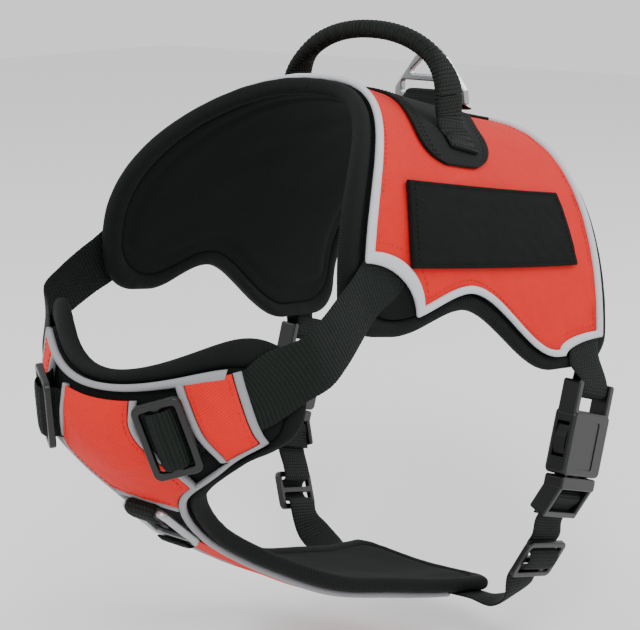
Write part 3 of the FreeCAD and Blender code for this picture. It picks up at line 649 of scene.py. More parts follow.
def make_mesh(name: str, grids: list[Grid], slot: Slot) -> bpy.types.Object:
    """Turn grids into one mesh object.

    Args:
        name: name of the object.
        grids: closed grids, in millimetres.
        slot: material slot.
    Returns:
        The object.
    """
    points, quads, uvs, caps, start = [], [], [], [], 0
    for grid in grids:
        rows, cols = grid.points.shape[:2]
        face, local = grid.faces(start)
        points.append(grid.points.reshape(-1, 3))
        quads.append(face)
        uvs.append(grid.uv.reshape(-1, 2)[local])
        if grid.ends:
            flat = grid.uv.reshape(-1, 2)
            for cap in (np.arange(cols), np.arange(cols)[::-1] + (rows - 1) * cols):
                caps.append(((cap + start).tolist(), flat[cap]))
        start += rows * cols
    co = np.concatenate(points) * MM
    faces = np.concatenate(quads).tolist() + [cap for cap, _ in caps]
    corner_uv = np.concatenate([np.concatenate(uvs).reshape(-1, 2)] + [c[1] for c in caps])
    mesh = bpy.data.meshes.new(name)
    mesh.from_pydata(co.tolist(), [], faces)
    layer = mesh.uv_layers.new(name="sewn")
    layer.data.foreach_set("uv", corner_uv.astype(np.float32).ravel())
    mesh.shade_smooth()
    mesh.update()
    piece = bpy.data.objects.new(name, mesh)
    bpy.context.scene.collection.objects.link(piece)
    turn_outward(mesh)
    mesh.materials.append(CLOTHS[slot].material)
    return piece


def turn_outward(mesh: bpy.types.Mesh) -> None:
    """Make every closed part of a mesh face outwards."""
    work = bmesh.new()
    work.from_mesh(mesh)
    bmesh.ops.recalc_face_normals(work, faces=work.faces)
    work.to_mesh(mesh)
    work.free()


def edge_samples(count: int, size: float, radius: float) -> Array:
    """Sample places from 0 to 1 that crowd into the rounded rims.

    Args:
        count: places between the rims.
        size: length in millimetres.
        radius: the rim's radius.
    Returns:
        The sample places.
    """
    share = min(radius / size, 0.45)
    rim = share * (1 - np.cos(np.linspace(0, 0.5 * math.pi, 5)))
    inner = np.linspace(share, 1 - share, max(count, 3))[1:-1]
    return np.concatenate([rim, inner, 1 - rim[::-1]])


def rim_profile(s: Array, size: float, radius: float) -> Array:
    """Share of full thickness near a rounded rim."""
    d = np.minimum(s, 1 - s) * size / radius
    return np.sqrt(np.clip(1 - (1 - np.clip(d, 0, 1)) ** 2, 0, 1))


@dataclass
class Pad:
    """A layer of cloth or padding laid over a surface between two heights.

    size is the layer's rough size in millimetres along s and along t."""

    skin: Skin
    place: Place
    low: float
    high: float
    size: tuple[float, float]
    pitch: float = 2.0
    radius: float = 1.2
    relief: Field | None = None
    inner_relief: Field | None = None

    def grids(self) -> list[Grid]:
        """Work out the closed layer."""
        rows = edge_samples(int(self.size[0] / self.pitch), self.size[0], self.radius)
        cols = edge_samples(int(self.size[1] / self.pitch), self.size[1], self.radius)
        s, t = np.meshgrid(rows, cols, indexing="ij")
        a, b = self.place(s, t)
        foot, normal = self.skin.point(a, b), self.skin.normal(a, b)
        swell = rim_profile(s, self.size[0], self.radius)
        swell = swell * rim_profile(t, self.size[1], self.radius)
        middle, half = 0.5 * (self.low + self.high), 0.5 * (self.high - self.low)
        upper, lower = middle + half * swell, middle - half * swell
        if self.relief:
            upper = upper + self.relief(s, t) * swell
        if self.inner_relief:
            lower = lower + self.inner_relief(s, t) * swell
        outer = foot + normal * upper[..., None]
        inner = foot + normal * lower[..., None]
        if isinstance(self.skin, PanelSkin):
            uv = np.stack([a * 50.0, b * 18.0], -1)
        else:
            uv = np.stack([a, b], -1)
        points = np.concatenate([outer, inner[:, -2:0:-1]], axis=1)
        sewn = np.concatenate([uv, uv[:, -2:0:-1]], axis=1)
        return [Grid(points, sewn)]


def tube(skin: Skin, place: Place, middle: float, half: float, length: float, rows: int,
         cols: int = 10, ripple: float = 0.0) -> Grid:
    """A roll of tape or piping laid along a surface.

    Args:
        skin: the surface.
        place: (s, t) to surface coordinates, s along the roll and t across it.
        middle: height of the roll's middle.
        half: half its thickness.
        length: rough length in millimetres.
        rows: samples along the roll.
        cols: samples across each face.
        ripple: depth of its puckers.
    Returns:
        The closed grid.
    """
    t_upper = 0.5 - 0.5 * np.cos(np.linspace(0, math.pi, cols + 1))
    s_line = np.linspace(0, 1, rows)
    s, t = np.meshgrid(s_line, t_upper, indexing="ij")
    a, b = place(s, t)
    foot, normal = skin.point(a, b), skin.normal(a, b)
    swell = half * np.sqrt(np.clip(1 - (2 * t - 1) ** 2, 0, 1)) ** 0.8
    if ripple:
        swell = swell * (1 + ripple * waves(s * length, t * 4, 9.0, 3))
    outer = foot + normal * (middle + swell)[..., None]
    inner = foot + normal * (middle - swell)[..., None]
    uv = np.stack([t * 10, s * length], -1)
    points = np.concatenate([outer, inner[:, -2:0:-1]], axis=1)
    return Grid(points, np.concatenate([uv, uv[:, -2:0:-1]], axis=1))


def flipped(grid: Grid) -> Grid:
    """The same grid on the other side of the plane of symmetry."""
    points = grid.points * np.array([-1.0, 1.0, 1.0])
    return Grid(points[:, ::-1], grid.uv[:, ::-1], grid.ends)


# ---- Webbing ------------------------------------------------------------------------------------
@dataclass
class Frame:
    """Local axes: x across the webbing, y along it, z out of its face."""

    origin: Array
    y: Array
    z: Array

    def __init__(self, origin: tuple[float, ...] | Array, along: tuple[float, ...] | Array,
                 outward: tuple[float, ...] | Array) -> None:
        self.origin = np.asarray(origin, float)
        self.y = unit(np.asarray(along, float))
        outward = np.asarray(outward, float)
        self.z = unit(outward - self.y * float(outward @ self.y))
        self.x = unit(np.cross(self.y, self.z))

    def at(self, x: float, y: float, z: float) -> Array:
        """Point at local coordinates."""
        return self.origin + self.x * x + self.y * y + self.z * z


Row = tuple[Array, Array]


def flat_row(centre: Array, aside: Array, normal: Array, width: float) -> Row:
    """One row across flat webbing."""
    k = np.linspace(-0.5, 0.5, 5)[:, None]
    points = centre + aside * (k * width)
    return points, np.repeat(unit(normal)[None], 5, axis=0)


def skin_row(skin: Skin, place: tuple[float, float], direction: Array, height: float,
             width: float) -> Row:
    """One row across webbing that lies on a surface.

    Args:
        skin: the surface.
        place: coordinates of the row's middle.
        direction: the way the webbing runs.
        height: height of its middle over the surface.
        width: its width.
    Returns:
        The row's points and normals.
    """
    a, b = np.array(place[0], float), np.array(place[1], float)
    normal = skin.normal(a, b)
    aside = unit(np.cross(np.asarray(direction, float), normal))
    k = np.linspace(-0.5, 0.5, 5)
    shift = aside[None] * (k * width)[:, None]
    aa, bb = skin.beside(np.full(5, float(a)), np.full(5, float(b)), shift)
    return skin.lifted(aa, bb, np.full(5, height)), skin.normal(aa, bb)


def frame_rows(local: Frame, path: list[tuple[float, float]], width: float) -> list[Row]:
    """Rows of webbing along a path of (y, z) points in local axes.

    Args:
        local: the axes.
        path: the points.
        width: width of the webbing.
    Returns:
        One row for each point.
    """
    rows = []
    for i, (y, z) in enumerate(path):
        before, after = path[max(i - 1, 0)], path[min(i + 1, len(path) - 1)]
        run = unit(np.array([after[0] - before[0], after[1] - before[1]]))
        normal = local.y * -run[1] + local.z * run[0]
        rows.append(flat_row(local.at(0, y, z), local.x, normal, width))
    return rows


def around_bar(centre: float, radius: float, first: float, last: float,
               step: float = 20) -> list[tuple[float, float]]:
    """Points of webbing round a bar, by angle in degrees from z towards y.

    Args:
        centre: y of the bar.
        radius: distance of the webbing's middle from it.
        first: first angle.
        last: last angle.
        step: about how far apart the points are.
    Returns:
        The points.
    """
    count = int(round(abs(last - first) / step))
    angles = np.radians(np.linspace(first, last, count + 1))
    return [(centre + radius * math.sin(a), radius * math.cos(a)) for a in angles]


@dataclass
class Ribbon:
    """Webbing through rows, with ribbed selvedges and a soft cross-section."""

    rows: list[Row]
    thick: float = LAYER.webbing
    rib: float = 1.7
    wavy: float = 0.28
    phase: float = 0.0
    swell: Callable[[Array], Array] | None = None

    def grids(self) -> list[Grid]:
        """Work out the closed ribbon."""
        points = np.array([r[0] for r in self.rows])
        normals = np.array([r[1] for r in self.rows])
        middle = points[:, 2]
        stops = np.concatenate([[0], np.cumsum(np.linalg.norm(np.diff(middle, axis=0), axis=1))])
        count = max(int(stops[-1] / 0.7), 8)
        where = np.linspace(0, stops[-1], count + 1)
        points, normals = hermite(stops, points, where), unit(hermite(stops, normals, where))
        share = np.sin(np.linspace(-0.5 * math.pi, 0.5 * math.pi, 15))
        pos = (share + 1) * 2
        low = np.clip(pos.astype(int), 0, 3)
        frac = (pos - low)[None, :, None]
        p = points[:, low] * (1 - frac) + points[:, low + 1] * frac
        n = unit(normals[:, low] * (1 - frac) + normals[:, low + 1] * frac)
        aside = unit(points[:, 4] - points[:, 0])[:, None]
        wave = self.wavy * np.abs(np.sin(math.pi * where / self.rib))[:, None, None]
        p = p + aside * (np.sign(share) * np.abs(share) ** 8)[None, :, None] * (wave - 0.5 * self.wavy)
        swell = 0.5 * self.thick * np.sqrt(np.clip(1 - np.abs(share) ** 6, 0, 1))
        swell = np.repeat(swell[None], len(where), axis=0)
        if self.swell is not None:
            swell = swell * self.swell(where)[:, None]
        outer, inner = p + n * swell[..., None], p - n * swell[..., None]
        width = np.linalg.norm(points[:, 4] - points[:, 0], axis=-1)
        u = share[None] * width[:, None] * 0.5
        uv = np.stack([u, np.repeat((where + self.phase)[:, None], len(share), axis=1)], -1)
        full = np.concatenate([outer, inner[:, -2:0:-1]], axis=1)
        sewn = np.concatenate([uv, uv[:, -2:0:-1]], axis=1)
        self.samples = np.searchsorted(where, stops)
        return [Grid(full, sewn)]

    def parted(self, row: int) -> tuple[Grid, Grid]:
        """The ribbon in two lengths that meet at one of its rows.

        Args:
            row: which row they meet at.
        Returns:
            The grid before the row and the grid after it.
        """
        whole = self.grids()[0]
        cut = int(self.samples[row])
        return (Grid(whole.points[:cut + 1], whole.uv[:cut + 1]),
                Grid(whole.points[cut:], whole.uv[cut:]))


def hermite(stops: Array, values: Array, where: Array) -> Array:
    """Smooth cubic curve through values at uneven stops.

    Args:
        stops: distance of each value along the curve.
        values: the values, one for each stop.
        where: distances to work out.
    Returns:
        The values there.
    """
    span = np.diff(stops)[:, None, None]
    chord = np.diff(values, axis=0) / span
    slope = np.empty_like(values)
    slope[0], slope[-1] = chord[0], chord[-1]
    first, second = span[:-1], span[1:]
    slope[1:-1] = (chord[:-1] * second + chord[1:] * first) / (first + second)
    i = np.clip(np.searchsorted(stops, where, side="right") - 1, 0, len(stops) - 2)
    h = (stops[i + 1] - stops[i])[:, None, None]
    t = ((where - stops[i]) / h[:, 0, 0])[:, None, None]
    return (values[i] * (2 * t ** 3 - 3 * t ** 2 + 1) + slope[i] * (t ** 3 - 2 * t ** 2 + t) * h
            + values[i + 1] * (3 * t ** 2 - 2 * t ** 3) + slope[i + 1] * (t ** 3 - t ** 2) * h)


def stitches(skin: Skin, a: Array, b: Array, height: float, pitch: float = 2.7,
             radius: float = 0.24) -> list[Grid]:
    """A row of thread stitches along a line on a surface.

    Args:
        skin: the surface.
        a: first coordinates of the line.
        b: second coordinates of the line.
        height: height of the cloth's face.
        pitch: distance between stitches.
        radius: half the thread's thickness.
    Returns:
        One small closed grid for each stitch.
    """
    line = skin.lifted(a, b, np.full(len(a), height))
    normals = skin.normal(a, b)
    stops = np.concatenate([[0], np.cumsum(np.linalg.norm(np.diff(line, axis=0), axis=1))])
    grids = []
    angles = np.linspace(0, TAU, 7)[:-1]
    profile = [(-1.0, 0.25), (-0.7, 0.8), (0.0, 1.0), (0.7, 0.8), (1.0, 0.25)]
    for middle in np.arange(pitch * 0.6, stops[-1] - pitch * 0.3, pitch):
        centre = np.array([np.interp(middle, stops, line[:, k]) for k in range(3)])
        ahead = np.array([np.interp(middle + 0.8, stops, line[:, k]) for k in range(3)])
        up = unit(np.array([np.interp(middle, stops, normals[:, k]) for k in range(3)]))
        run = unit(ahead - centre)
        side = np.cross(up, run)
        ring = []
        for share, fat in profile:
            mid = centre + run * (share * pitch * 0.36) + up * (0.1 - 0.3 * share * share)
            spoke = side[None] * np.cos(angles)[:, None] + up[None] * np.sin(angles)[:, None]
            ring.append(mid + spoke * radius * fat)
        points = np.array(ring)
        grids.append(Grid(points, np.zeros(points.shape[:2] + (2,))))
    return grids


# ---- Pieces -------------------------------------------------------------------------------------
SIDES = (("left", 1), ("right", -1))


@dataclass
class Assembly:
    """A sub-assembly, which keeps the pieces that it has made."""

    pieces: list[bpy.types.Object] = field(default_factory=list, init=False)

    def make(self, name: str, grids: list[Grid], slot: Slot, *nodes: str) -> bpy.types.Object:
        """Make a piece of the harness body and let it stand for CAD nodes.

        Args:
            name: name of the piece.
            grids: its closed grids, in millimetres.
            slot: its material slot.
            nodes: the CAD nodes it stands for.
        Returns:
            The piece.
        """
        piece = make_mesh(name, grids, slot)
        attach(piece, "harness")
        if nodes:
            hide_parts(*nodes)
        self.pieces.append(piece)
        return piece


@dataclass
class BackPanel(Assembly):
    """The arched back panel with its binding, red shell, piping, saddle and patches."""

    corner: float = 15.0
    cut_corner: float = 26.0
    front_cut: float = 22.0
    rear_cut: float = 7.0
    corner_share: float = 0.2
    end_share: float = 0.3
    saddle_reach: float = 65.0
    saddle_middle: float = 59.0
    saddle_shift: float = 16.0
    saddle_half: float = 40.0
    lobe_half: float = 28.0
    patch_top: float = 74.0
    patch_height: float = 34.5
    patch_front: float = 24.0
    patch_slant: float = 5.0
    patch_length: float = 102.0
    spine_width: float = 12.0

    @property
    def shell_inset(self) -> float:
        """Distance from the panel's edge to the red shell."""
        return LAYER.edge + LAYER.piping_width + LAYER.gap

    @staticmethod
    def edge_depth(along: Array) -> Array:
        """Depth of the wavy lower edge: the lobe's, eased to the arch's and then to the leg's.

        Args:
            along: distance from the panel's front.
        Returns:
            Distance from the ridge down to the edge.
        """
        rise = smooth((along - BACK.lobe_end) / (BACK.arch_middle - BACK.lobe_end))
        drop = smooth((along - BACK.arch_middle) / (BACK.leg_start - BACK.arch_middle))
        return (BACK.lobe_depth + (BACK.arch_depth - BACK.lobe_depth) * rise
                + (BACK.leg_depth - BACK.arch_depth) * drop)

    def side(self, t: Array, inset: Array, corner: float, cut: bool) -> tuple[Array, Array]:
        """Near outline of the panel: quarter ellipses at both ends and the wavy edge between.

        Args:
            t: place on the outline, from the front edge to the rear edge.
            inset: distance in from the panel's edge.
            corner: length of the corners along the panel.
            cut: whether the corners are scooped out and not rounded.
        Returns:
            Across and along coordinates.
        """
        t = np.asarray(t, float)
        first, last, share = inset, BACK.length - inset, self.corner_share
        front = t < 0.5
        depth = np.where(front, self.front_cut, self.rear_cut)
        inside = (t >= share) & (t <= 1 - share)
        middle = first + corner + (last - first - 2 * corner) * (t - share) / (1 - 2 * share)
        angle = 0.5 * math.pi * np.clip(np.where(front, t, 1 - t) / share, 0, 1)
        if cut:
            back_off, step = depth * np.cos(angle), corner * np.sin(angle)
        else:
            back_off, step = corner * (1 - np.sin(angle)), corner * (1 - np.cos(angle))
        along = np.where(front, first + step, last - step)
        level = np.where(front, first + corner, last - corner)
        reach = self.edge_depth(np.where(inside, middle, level))
        return reach - inset - np.where(inside, 0.0, back_off), np.where(inside, middle, along)

    def area(self, inset: float, corner: float, cut: bool) -> Place:
        """Place function of the panel inside an inset outline.

        Args:
            inset: distance in from the panel's edge.
            corner: length of the corners.
            cut: whether the corners are scooped out.
        Returns:
            The place function, with s across and t along.
        """
        def place(s: Array, t: Array) -> tuple[Array, Array]:
            """Across is the outline's, and along bends to the outline towards the sides."""
            across, along = self.side(t, inset, corner, cut)
            straight = inset + (BACK.length - 2 * inset) * t
            side = 2 * s - 1
            return across * side, straight + (along - straight) * np.abs(side) ** 3
        return place

    def rim(self, inset: float, width: float, corner: float, cut: bool) -> Place:
        """Place function of a strip along the near half of the outline.

        Args:
            inset: distance from the panel's edge to the strip's outer side.
            width: the strip's width.
            corner: length of the corners.
            cut: whether the corners are scooped out.
        Returns:
            The place function, with s along the strip and t across it.
        """
        end_share = self.end_share

        def place(s: Array, t: Array) -> tuple[Array, Array]:
            """The front edge, the side and the rear edge, one after the other."""
            depth = inset + width * (1 - t)
            start = self.side(np.zeros_like(s), depth, corner, cut)
            end = self.side(np.ones_like(s), depth, corner, cut)
            side = self.side(np.clip((s - end_share) / 0.4, 0, 1), depth, corner, cut)
            front, rear = s < end_share, s > 0.7
            a = np.where(front, start[0] * s / end_share,
                         np.where(rear, end[0] * (1 - s) / end_share, side[0]))
            return a, np.where(front, start[1], np.where(rear, end[1], side[1]))
        return place

    def saddle(self, s: Array, t: Array) -> tuple[Array, Array]:
        """Saddle under the handle: widest on the ridge, with a round lobe on each flank.

        Args:
            s: across, from 0 to 1.
            t: along, from 0 to 1.
        Returns:
            Across and along coordinates.
        """
        side = 2 * s - 1
        narrow = smooth(np.abs(side) * 1.5)
        half = self.saddle_half + (self.lobe_half - self.saddle_half) * narrow
        half = half * np.sqrt(np.maximum(1 - 0.9 * np.abs(side) ** 8, 0.0))
        middle = self.saddle_middle + (1 - narrow) * self.saddle_shift
        return side * self.saddle_reach, middle + half * (2 * t - 1)

    def patch(self, s: Array, t: Array) -> tuple[Array, Array]:
        """Loop-pile patch on the near flank, slanting with the flank.

        Args:
            s: down the flank, from 0 to 1.
            t: along, from 0 to 1.
        Returns:
            Across and along coordinates.
        """
        return (self.patch_top + self.patch_height * s,
                self.patch_front + self.patch_slant * s + self.patch_length * t)

    @staticmethod
    def padded(s: Array, t: Array) -> Array:
        """Inner face of the padding: a swell, a sewn channel near the rim and aimless waves."""
        a, b = (2 * s - 1) * 140, t * 156
        rim = np.minimum(np.minimum(s, 1 - s) * 280, np.minimum(t, 1 - t) * 141)
        channel = -0.9 * np.exp(-((rim - 9) / 2.2) ** 2)
        return -1.1 * smooth(rim / 14) - channel + 0.35 * waves(a, b, 46, 5)

    @staticmethod
    def creased(s: Array, t: Array) -> Array:
        """Face of the red shell: puckers near the rim, one diagonal crease and slow waves."""
        a, b = (2 * s - 1) * 135, t * 134
        rim = np.minimum(np.minimum(s, 1 - s) * 270, np.minimum(t, 1 - t) * 134)
        pucker = 0.22 * np.exp(-rim / 8) * waves(a, b, 13, 11)
        crease = 0.55 * np.exp(-((a - 78 + 0.3 * (b - 60)) / 2.5) ** 2)
        crease = crease * smooth((b - 20) / 25) * smooth((75 - b) / 20)
        return pucker + 0.28 * waves(a, b, 55, 8) + crease

    def build_padding(self) -> None:
        """Padding and the tape rolled round its edge."""
        lining = Pad(back, self.area(LAYER.edge - 0.4, self.corner, False), -LAYER.padding, 0.0,
                     (290, 141), 2.4, 2.0, None, self.padded)
        self.make("back_padding", lining.grids(), Slot.MESH, "back_lining")
        roll = tube(back, self.rim(0, LAYER.edge + 0.3, self.corner, False),
                    -LAYER.padding / 2 + 0.3, LAYER.binding / 2 + 0.3, 430, 420, 12, 0.03)
        self.make("back_edge_tape", [roll, flipped(roll)], Slot.BINDING, "back_binding")

    def build_shell(self) -> None:
        """Red shell, the dark cloth under it and the piping round it."""
        shell = Pad(back, self.area(self.shell_inset - 0.5, self.cut_corner, True),
                    LAYER.shell_base, LAYER.shell_top, (270, 134), 1.6, 0.8, self.creased)
        self.make("back_shell_cloth", shell.grids(), Slot.RED, "back_shell")
        under = Pad(back, self.area(LAYER.edge + 0.5, self.corner, False), 0.1,
                    LAYER.shell_base - 0.15, (275, 140), 3.0, 1.0)
        self.make("back_base_cloth", under.grids(), Slot.CLOTH)
        piping = tube(back, self.rim(LAYER.edge, LAYER.piping_width, self.cut_corner, True),
                      LAYER.shell_base + 0.5 * LAYER.piping - 0.2, LAYER.piping / 2,
                      410, 400, 8, 0.04)
        self.make("back_reflective_piping", [piping, flipped(piping)], Slot.BACK_PIPING,
                  "back_piping")

    def build_trim(self) -> None:
        """Saddle, spine tape, patches and the black thread that holds them."""
        saddle = Pad(back, self.saddle, LAYER.trim_base, LAYER.trim_top, (126, 60), 1.6, 0.8)
        self.make("saddle_cloth", saddle.grids(), Slot.BINDING, "handle_saddle")
        start = self.saddle_middle + self.saddle_shift + self.saddle_half + 1
        stop = BACK.length - self.shell_inset - 1
        spine = Pad(back, lambda s, t: (self.spine_width * (s - 0.5), start + (stop - start) * t),
                    LAYER.trim_base, LAYER.trim_top, (12, 28), 1.5, 0.8)
        self.make("spine_tape", spine.grids(), Slot.WEBBING, "spine_webbing")
        threads: list[Grid] = []
        line = np.linspace(0.02, 0.98, 60)
        for inset in (0.055, 0.10):
            for edge in (inset, 1 - inset):
                threads += stitches(back, *self.saddle(line, np.full(60, edge)), LAYER.trim_top)
        for name, side in SIDES:
            threads += self.build_patch(name, side, line)
        self.make("back_black_thread", threads, Slot.CLOTH)

    def build_patch(self, name: str, side: int, line: Array) -> list[Grid]:
        """One flank's loop-pile patch.

        Args:
            name: name of the side.
            side: 1 on the dog's left and -1 on its right.
            line: places of the samples along each seam.
        Returns:
            The grids of its stitches.
        """
        def place(s: Array, t: Array) -> tuple[Array, Array]:
            """The near patch, or its twin."""
            across, along = self.patch(s, t)
            return side * across, along
        pile_patch = Pad(back, place, LAYER.trim_base, LAYER.trim_top + 0.9, (34, 102), 0.9, 0.9,
                         lambda s, t: 0.12 * waves(s * 34, t * 102, 7.0, 21))
        self.make(name + "_pile_patch", pile_patch.grids(), Slot.PILE, name + "_loop_patch")
        threads: list[Grid] = []
        for s, t in ((line, np.full(60, 0.03)), (line, np.full(60, 0.97)),
                     (np.full(60, 0.05), line), (np.full(60, 0.95), line)):
            threads += stitches(back, *place(s, t), LAYER.trim_top + 0.95, 2.4)
        return threads

    def build(self) -> None:
        """Make the whole panel."""
        self.build_padding()
        self.build_shell()
        self.build_trim()
        threads: list[Grid] = []
        rim = self.rim(self.shell_inset + 2.2, 0.0, self.cut_corner, True)
        a, b = rim(np.linspace(0.0, 1.0, 500), np.full(500, 0.5))
        for _, side in SIDES:
            threads += stitches(back, side * a, b, LAYER.shell_top + 0.1, 2.9)
        self.make("back_red_thread", threads, Slot.RED)


@dataclass
class ChestPanel(Assembly):
    """The chest and belly panel with its fields, piping and binding."""

    red_first: float = 0.95
    red_last: float = 4.9
    neck_share: float = 0.25
    rear_share: float = 0.88
    neck_piping_end: float = 0.205
    leg_piping_start: float = 0.33
    leg_piping_share: float = 0.53
    belly_first: float = 6.9
    belly_rear: float = 0.55

    @staticmethod
    def area(inset: Array | float, power: int = 10) -> Place:
        """Place function of the panel inside an inset outline.

        Args:
            inset: distance in from the panel's edge.
            power: how square the corners are.
        Returns:
            The place function, with s across and t along.
        """
        def place(s: Array, t: Array) -> tuple[Array, Array]:
            """Trimmed at the sides, and squeezed towards the middle at the corners."""
            side = 2 * s - 1
            first = inset / float(panel.pace(0.2))
            last = STATIONS - inset / float(panel.pace(STATIONS - 0.2))
            along = first + (last - first) * t
            trim = 1 - inset / panel.half_width(along) - 0.06 * (2 * t - 1) ** power
            squeeze = 0.9 * np.abs(side) ** power * np.maximum(0.5 - t, -0.2)
            return side * trim, along + squeeze
        return place

    def edge(self, share: Array, depth: Array) -> tuple[Array, Array]:
        """Points of the near outline, from the neck edge's middle to the rear edge's middle.

        Args:
            share: place on the outline, from 0 to 1.
            depth: distance in from the panel's edge.
        Returns:
            Across and along coordinates.
        """
        neck, rear = self.neck_share, self.rear_share
        beyond = np.where(share > rear, 0.5 + 0.5 * (1 - share) / (1 - rear), 1.0)
        s = np.where(share < neck, 0.5 + 0.5 * share / neck, beyond)
        return self.area(depth)(s, np.clip((share - neck) / (rear - neck), 0, 1))

    def red_along(self, t: Array | float) -> Array | float:
        """Along coordinate on the centre field."""
        return self.red_first + (self.red_last - self.red_first) * t

    def centre_edge(self, t: Array) -> Array:
        """Half width of the centre field, which widens away from the neck.

        Args:
            t: along the field, from 0 to 1.
        Returns:
            The across coordinate of its edge.
        """
        along = self.red_along(t)
        reach = 20 + 14 * smooth((t - 0.15) / 0.6)
        limit = 1 - (LAYER.panel_margin + LAYER.piping_width) / panel.half_width(along)
        return np.minimum(reach / panel.half_width(along), limit)

    def centre(self, s: Array, t: Array) -> tuple[Array, Array]:
        """Place function of the centre field."""
        return (2 * s - 1) * self.centre_edge(t), self.red_along(t)

    @staticmethod
    def outer(s: Array, t: Array) -> tuple[Array, Array]:
        """Near field beside the slide, slanting with the strap.

        Args:
            s: across, from 0 to 1.
            t: along, from 0 to 1.
        Returns:
            Across and along coordinates.
        """
        along = 0.62 + 2.2 * t
        width = panel.half_width(along)
        limit = 1 - (LAYER.panel_margin + LAYER.piping_width + 2 * LAYER.gap) / width
        inner, outer = (43 + 13 * t) / width, np.minimum((61 + 12 * t) / width, limit)
        return inner + (outer - inner) * s, along

    @staticmethod
    def beside(edge: Callable[[Array], tuple[Array, Array]], side: int) -> Place:
        """Place function of piping next to a field's edge.

        Args:
            edge: the edge's coordinates by share of its length.
            side: 1 where the piping lies further out and -1 where it lies further in.
        Returns:
            The place function, with s along the piping and t across it.
        """
        def place(s: Array, t: Array) -> tuple[Array, Array]:
            """The edge, moved out by the gap and the share of the width."""
            across, along = edge(s)
            away = LAYER.gap + LAYER.piping_width * (t if side > 0 else 1 - t)
            return across + side * away / panel.half_width(along), along
        return place

    @staticmethod
    def piping(place: Place, length: float, rows: int) -> Grid:
        """A length of piping on the panel."""
        return tube(panel, place, LAYER.band_base + 0.5 * LAYER.piping, LAYER.piping / 2,
                    length, rows, 8, 0.03)

    @staticmethod
    def padded(s: Array, t: Array) -> Array:
        """Inner face of the padding: a swell away from the sides and aimless waves."""
        return (-0.9 * smooth(np.minimum(s, 1 - s) * 5)
                + 0.3 * waves(s * 60, t * 300, 40, 15))

    @staticmethod
    def puckered(s: Array, t: Array) -> Array:
        """Face of the centre field: puckers near the rim, slow waves and one diagonal fold."""
        rim = np.minimum(np.minimum(s, 1 - s) * 55, np.minimum(t, 1 - t) * 75)
        fold = 0.7 * np.exp(-(((t - 0.62) * 75 + (s - 0.55) * 30) / 2.2) ** 2)
        fold = fold * smooth((s - 0.35) / 0.25)
        return (0.3 * np.exp(-rim / 6) * waves(s * 55, t * 75, 11, 31)
                + 0.35 * waves(s * 55, t * 75, 34, 33) + fold)

    def build_base(self) -> None:
        """Padding, the tape rolled round its edge and the dark cloth."""
        margin = LAYER.panel_margin
        lining = Pad(panel, self.area(margin - 0.4), -LAYER.padding, 0.0, (80, 330), 2.2, 2.0,
                     None, self.padded)
        self.make("chest_padding", lining.grids(), Slot.MESH, "chest_belly_lining")
        roll = tube(panel, lambda s, t: self.edge(s, margin * (1 - t) + 0.3 * (1 - t)),
                    -LAYER.padding / 2 + 0.3, LAYER.binding / 2 + 0.3, 450, 460, 12, 0.03)
        self.make("chest_edge_tape", [roll, flipped(roll)], Slot.BINDING, "chest_belly_binding")
        cover = Pad(panel, self.area(margin + 0.1), 0.15, 1.3, (80, 330), 2.2, 1.0)
        self.make("chest_base_cloth", cover.grids(), Slot.CLOTH, "chest_belly_cover")

    def build_fields(self) -> None:
        """Red fields of the chest and their thread."""
        centre = Pad(panel, self.centre, LAYER.red_base, LAYER.red_top, (55, 75), 1.0, 0.8,
                     self.puckered)
        self.make("chest_centre_cloth", centre.grids(), Slot.RED, "chest_field_centre")
        threads: list[Grid] = []
        line = np.linspace(0.03, 0.97, 60)
        for s, t in ((np.full(60, 0.05), line), (np.full(60, 0.95), line),
                     (line, np.full(60, 0.96))):
            threads += stitches(panel, *self.centre(s, t), LAYER.red_top + 0.1, 2.6)
        for name, side in SIDES:
            threads += self.build_outer(name, side, line)
        self.make("chest_red_thread", threads, Slot.RED)

    def build_outer(self, name: str, side: int, line: Array) -> list[Grid]:
        """One field beside a slide.

        Args:
            name: name of the side.
            side: 1 on the dog's left and -1 on its right.
            line: places of the samples along each seam.
        Returns:
            The grids of its stitches.
        """
        def place(s: Array, t: Array) -> tuple[Array, Array]:
            """The near field, or its twin."""
            across, along = self.outer(s, t)
            return side * across, along
        piece = Pad(panel, place, LAYER.red_base, LAYER.red_top, (20, 42), 1.0, 0.8,
                    lambda s, t: 0.25 * waves(s * 20, t * 42, 14, 41))
        self.make(name + "_chest_cloth", piece.grids(), Slot.RED, name + "_chest_field")
        threads: list[Grid] = []
        for share in (0.1, 0.9):
            threads += stitches(panel, *place(np.full(60, share), line), LAYER.red_top + 0.1, 2.6)
        return threads

    def build_piping(self) -> None:
        """Piping round the fields and the panel's edges."""
        side = self.piping(self.beside(lambda s: (self.centre_edge(s), self.red_along(s)), 1),
                           78, 90)
        inner = self.piping(self.beside(lambda s: self.outer(np.zeros_like(s), s), -1), 44, 50)
        outer = self.piping(self.beside(lambda s: self.outer(np.ones_like(s), s), 1), 44, 50)
        last, pace = self.red_last, float(panel.pace(self.red_last))
        half = float(self.centre_edge(np.array(1.0))) - LAYER.gap / float(panel.half_width(last))
        hem = self.piping(lambda s, t: (
            (2 * s - 1) * half,
            last + (LAYER.gap + LAYER.piping_width * (1 - t)) / pace + 0 * s), 60, 60)
        self.make("centre_field_piping", [side, flipped(side), hem], Slot.CHEST_PIPING,
                  "chest_field_piping")
        self.make("outer_field_piping", [inner, outer, flipped(inner), flipped(outer)],
                  Slot.CHEST_PIPING, "side_field_piping")

